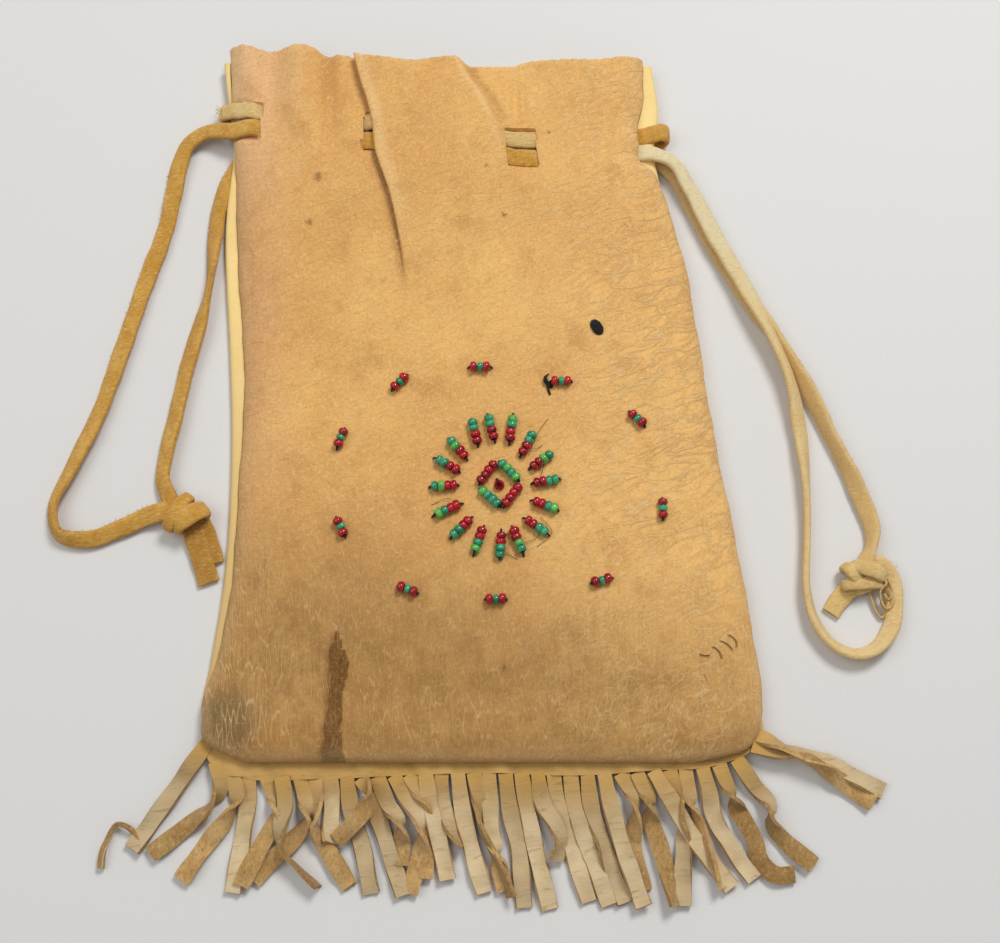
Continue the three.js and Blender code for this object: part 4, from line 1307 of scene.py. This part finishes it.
# Ivory: along the front, over the left edge in the upper row, round it and back under the panel.
ivory_left = row_y(1, -76)
ivory_front = flat_run([
    (-77.9, ivory_left, 4.0), (-76.6, ivory_left, 4.6),
    (-75.2, ivory_left, on_hide(-74.2, ivory_left) - 0.3),
    outside(1, -73.6), outside(1, -71), outside(1, -68.8), *through_windows(1),
    (18, row_y(1, 18), 5.0), (26, row_middle(26), 6.2), (33, row_y(-1, 33), 4.4),
    (40, row_y(-1, 40), 3.3),
])
ivory_turn = around_side(-77.6, 1, -1, 5.0, 0.0)
ivory_under = flat_run([
    (-76.2, ivory_left, 0.05), (-70, row_y(1, -70), 0.05), (-63, row_y(0.9, -63), 0.3),
    (-54, row_middle(-54), 2.0), (-45, row_y(-0.9, -45), 0.3), (-38, row_y(-1, -38), 0.05),
    (0, row_y(-1, 0), 0.05), (40, row_y(-1, 40), 0.05), (45, row_y(-1.1, 45), 0.05),
])
lace("right", [ivory_front[::-1], ivory_turn[1:-1], ivory_under], 1, 4.9, darker_ivory)

# Frayed fibres stand out of the pale thong's turn.
frays = []
for _ in range(14):
    y = ivory_left + rng.uniform(-2.2, 2.2)
    z = rng.uniform(2.4, 5.2)
    reach = rng.uniform(0.7, 2.2)
    sway = rng.uniform(-1.2, 1.6)
    root = np.array([-79.3, y, z])
    bend = root + (-reach * 0.6, sway * 0.3, 0.3)
    tip = root + (-reach, sway, rng.uniform(-0.5, 0.6))
    frays.append(strand("fray", [root, bend, tip], 0.26, 5))
fray_piece = join_pieces("frayed_fibres", frays)
tidy_mesh(fray_piece)
settle(fray_piece, [], ivory)


# ---- drawstrings ---------------------------------------------------------------------------------------
# The free part of each thong: out of the pouch's side at the front, down to the knot and back up to where
# it goes in under the back panel. They are limp and lie on the table.

FLOOR = 0.04
left_y = row_y(-1, -70)
LEFT_LEG = [
    (-66.6, row_y(-1, -67), on_hide(-68.2, left_y) - 1.6, 0), (-68.6, left_y, on_hide(-68.4, left_y), 0),
    (-71.2, left_y, on_hide(-71.2, left_y), 0), (-73.4, left_y, on_hide(-73.4, left_y) + 0.1, 0),
    (-75.6, left_y, on_hide(-74.6, left_y) + 0.3, 0), (-79.6, 95.6, 3.2, -6), (-84.4, 95.6, 1.5, -12),
    (-88.8, 92.6, 0.3, -18), (-91.0, 87.0, FLOOR, -14), (-92.0, 81.0, FLOOR, -8), (-94.1, 67.1, FLOOR, -4),
    (-98.9, 50.5, FLOOR, -6), (-104.2, 30.6, FLOOR, -14), (-109.8, 11.0, FLOOR, -22),
    (-116.6, -5.6, FLOOR, -36), (-120.4, -16.0, FLOOR, -58), (-118.4, -23.0, FLOOR, -60),
    (-112.0, -24.6, FLOOR, -36), (-103.2, -22.0, FLOOR, -24), (-96.0, -18.6, 0.4, -16),
    (-90.4, -16.8, 2.0, -10), (-87.6, -15.2, 2.0, 0),
    (-88.6, -13.2, 1.2, 20), (-90.8, -8.6, 0.2, 34), (-90.6, -1.8, FLOOR, 34), (-88.6, 9.3, FLOOR, 30),
    (-85.6, 26.0, FLOOR, 28), (-82.6, 38.6, FLOOR, 40), (-80.8, 48.6, FLOOR, 78), (-80.1, 57.0, FLOOR, 52),
    (-79.7, 66.0, FLOOR, 26), (-78.4, 76.0, FLOOR, 20), (-75.8, 83.0, FLOOR, 6), (-72.6, 88.0, FLOOR, 0),
    (-69.0, 90.5, FLOOR, 0),
]
right_y = row_y(-1, 43)
RIGHT_LEG = [
    (37.6, row_y(-1, 37.6), 3.3, 0), (41.6, right_y, 3.4, 0), (45.4, right_y - 0.5, 3.5, 20),
    (50.0, 86.2, 2.7, 34), (55.4, 77.8, 2.0, 24), (62.0, 63.6, 1.9, 14), (69.9, 48.0, 2.1, 22),
    (76.4, 34.2, 2.1, 52), (81.4, 20.9, 1.4, 58), (83.7, 6.4, 0.3, 34), (84.6, -6.0, FLOOR, 66),
    (84.6, -18.0, FLOOR, 82), (83.9, -28.6, FLOOR, 84), (83.5, -38.1, FLOOR, 76), (85.4, -47.0, FLOOR, 62),
    (90.2, -53.4, FLOOR, 60), (96.0, -55.8, FLOOR, 58), (101.8, -53.6, FLOOR, 50), (106.0, -47.4, FLOOR, 30),
    (107.0, -40.5, FLOOR, 18), (106.2, -34.8, 0.6, 12), (103.2, -31.6, 2.0, 6), (100.0, -32.0, 3.0, 0),
    (99.8, -30.4, 1.8, 30), (101.4, -26.6, 0.3, 66), (102.2, -21.6, FLOOR, 40), (100.2, -14.4, FLOOR, 20),
    (96.4, -4.6, FLOOR, 50), (92.2, 4.6, FLOOR, 56), (86.6, 18.0, FLOOR, 48), (80.2, 30.4, FLOOR, 66),
    (71.2, 44.6, FLOOR, 30), (62.4, 60.8, FLOOR, 0), (55.6, 74.8, FLOOR, 0), (50.6, 84.2, FLOOR, 0),
    (46.4, 87.6, FLOOR, 0), (42.4, right_y, FLOOR, 0),
]


LEG_WIDTH = 4.9
LEG_THICK = 2.1
FIBRES = 210
FIBRE = 0.12  # thickness of a fibre


def drawstring(side, knots, finish):
    middle, sides, widths = rolled(knots, 1.35, LEG_WIDTH, LEG_THICK)
    piece = sweep_thong(f"drawstring_{side}_thong", middle, sides, widths, LEG_THICK)
    settle(piece, [f"drawstring_{side}_front_leg", f"drawstring_{side}_back_leg"], finish)
    # Short fibres stand out of the suede's edges all along it.
    along = headings(middle)
    fibres = []
    for _ in range(FIBRES):
        spot = rng.integers(8, len(middle) - 8)
        out = sides[spot] * rng.choice((-1.0, 1.0))
        root = middle[spot] + out * widths[spot] * 0.45 + (0, 0, rng.uniform(-0.3, 0.4))
        aim = out + along[spot] * rng.uniform(-0.8, 0.8) + (0, 0, rng.uniform(0.0, 0.4))
        tip = root + aim * rng.uniform(0.4, 1.0)
        bow = along[spot] * rng.uniform(-0.2, 0.2) + (0, 0, 0.1)
        points = np.array([root, (root + tip) / 2 + bow, tip])
        points[:, 2] = np.maximum(points[:, 2], FIBRE)
        fibres.append(strand("fibre", points, FIBRE, 4))
    fuzz = join_pieces(piece.name + "_fuzz", fibres)
    tidy_mesh(fuzz)
    settle(fuzz, [], finish)
    return piece, fuzz, middle


left_string, left_fuzz, left_path = drawstring("left", LEFT_LEG, ochre)
right_string, right_fuzz, right_path = drawstring("right", RIGHT_LEG, ivory)


# ---- knots ---------------------------------------------------------------------------------------------
# Both legs of a drawstring are tied together in one overhand knot, pulled tight. The cut ends stand out of
# it as flat tails, and the right one has curly parings where the thong was trimmed.

WRAP_STEPS = 26
PARED = 0.6  # thickness of a paring


def wrap(centre, heading, reach, height, middle_z, width, lean):
    """A turn of the knot: an upright loop whose band faces outwards. heading is the way it crosses over."""
    over = np.array([math.cos(heading), math.sin(heading), 0])
    axis = np.array([-math.sin(heading), math.cos(heading), 0])
    angles = np.radians(np.linspace(-35, 215, WRAP_STEPS))
    points = [
        np.array([*centre, middle_z + height * math.sin(angle)])
        + (over * reach + axis * lean) * math.cos(angle) for angle in angles
    ]
    widths = width * (0.86 + 0.14 * np.sin(np.clip(angles, 0, math.pi)))
    return sweep_thong("wrap", points, np.tile(axis, (WRAP_STEPS, 1)), widths, 2.0)


def tail(knots, width, thick=1.5):
    middle, sides, widths = rolled(knots, 0.9, width, thick)
    return sweep_thong("tail", middle, sides, widths, thick)


left_knot = join_pieces("drawstring_left_tied", [
    wrap((-85.9, -17.4), 0.96, 5.0, 2.7, 3.8, 3.9, 0.3),
    wrap((-82.6, -19.0), 0.66, 4.6, 2.9, 4.0, 5.4, -0.4),
    tail([
        (-84.6, -17.2, 1.6, 180), (-82.4, -21.2, 1.1, 180), (-80.0, -28.3, 0.5, 180),
        (-77.2, -36.2, 0.1, 180),
    ], 5.8),
    tail([
        (-82.4, -15.6, 2.0, 180), (-79.9, -19.6, 1.0, 180), (-77.4, -25.2, FLOOR, 180),
        (-75.6, -30.8, FLOOR, 180),
    ], 4.8),
])
settle(left_knot, ["drawstring_left_knot"], ochre)

right_knot = join_pieces("drawstring_right_tied", [
    wrap((99.9, -33.6), -0.42, 4.1, 2.4, 3.9, 3.9, 0.3),
    wrap((98.4, -36.9), 0.12, 4.6, 1.9, 2.7, 3.6, -0.3),
    wrap((95.6, -34.2), -0.95, 2.6, 2.3, 3.0, 3.6, 0.2),
    tail([
        (100.6, -36.0, 1.8, 10), (98.0, -36.8, 1.5, 6), (95.0, -38.0, 0.7, 0), (92.6, -40.6, 0.1, 0),
        (89.9, -44.4, FLOOR, 0),
    ], 5.3),
    tail([
        (100.2, -36.8, 1.6, 20), (101.0, -39.9, 0.6, 50), (102.1, -43.5, 0.1, 60), (103.6, -45.6, 0.1, 60),
        (104.4, -44.2, 0.3, 60), (103.6, -41.4, 0.8, 60),
    ], 1.3, PARED),
    tail([
        (104.4, -34.6, 2.8, 10), (104.8, -37.0, 2.4, 60), (103.3, -38.4, 2.2, 80), (103.3, -41.6, 1.8, 80),
        (104.6, -43.6, 1.8, 80), (106.0, -42.4, 1.9, 70), (105.9, -40.0, 2.2, 60), (104.9, -38.2, 2.4, 60),
    ], 1.6, PARED),
    tail([
        (105.4, -35.4, 2.6, 60), (106.2, -38.6, 2.2, 80), (105.2, -41.2, 2.1, 80), (104.0, -39.6, 2.3, 70),
    ], 1.2, PARED),
])
settle(right_knot, ["drawstring_right_knot"], darker_ivory)


for string, path, knot, fuzz in [
    (left_string, left_path, left_knot, left_fuzz), (right_string, right_path, right_knot, right_fuzz),
]:
    tuple(path[0] * MM)
    path * MM
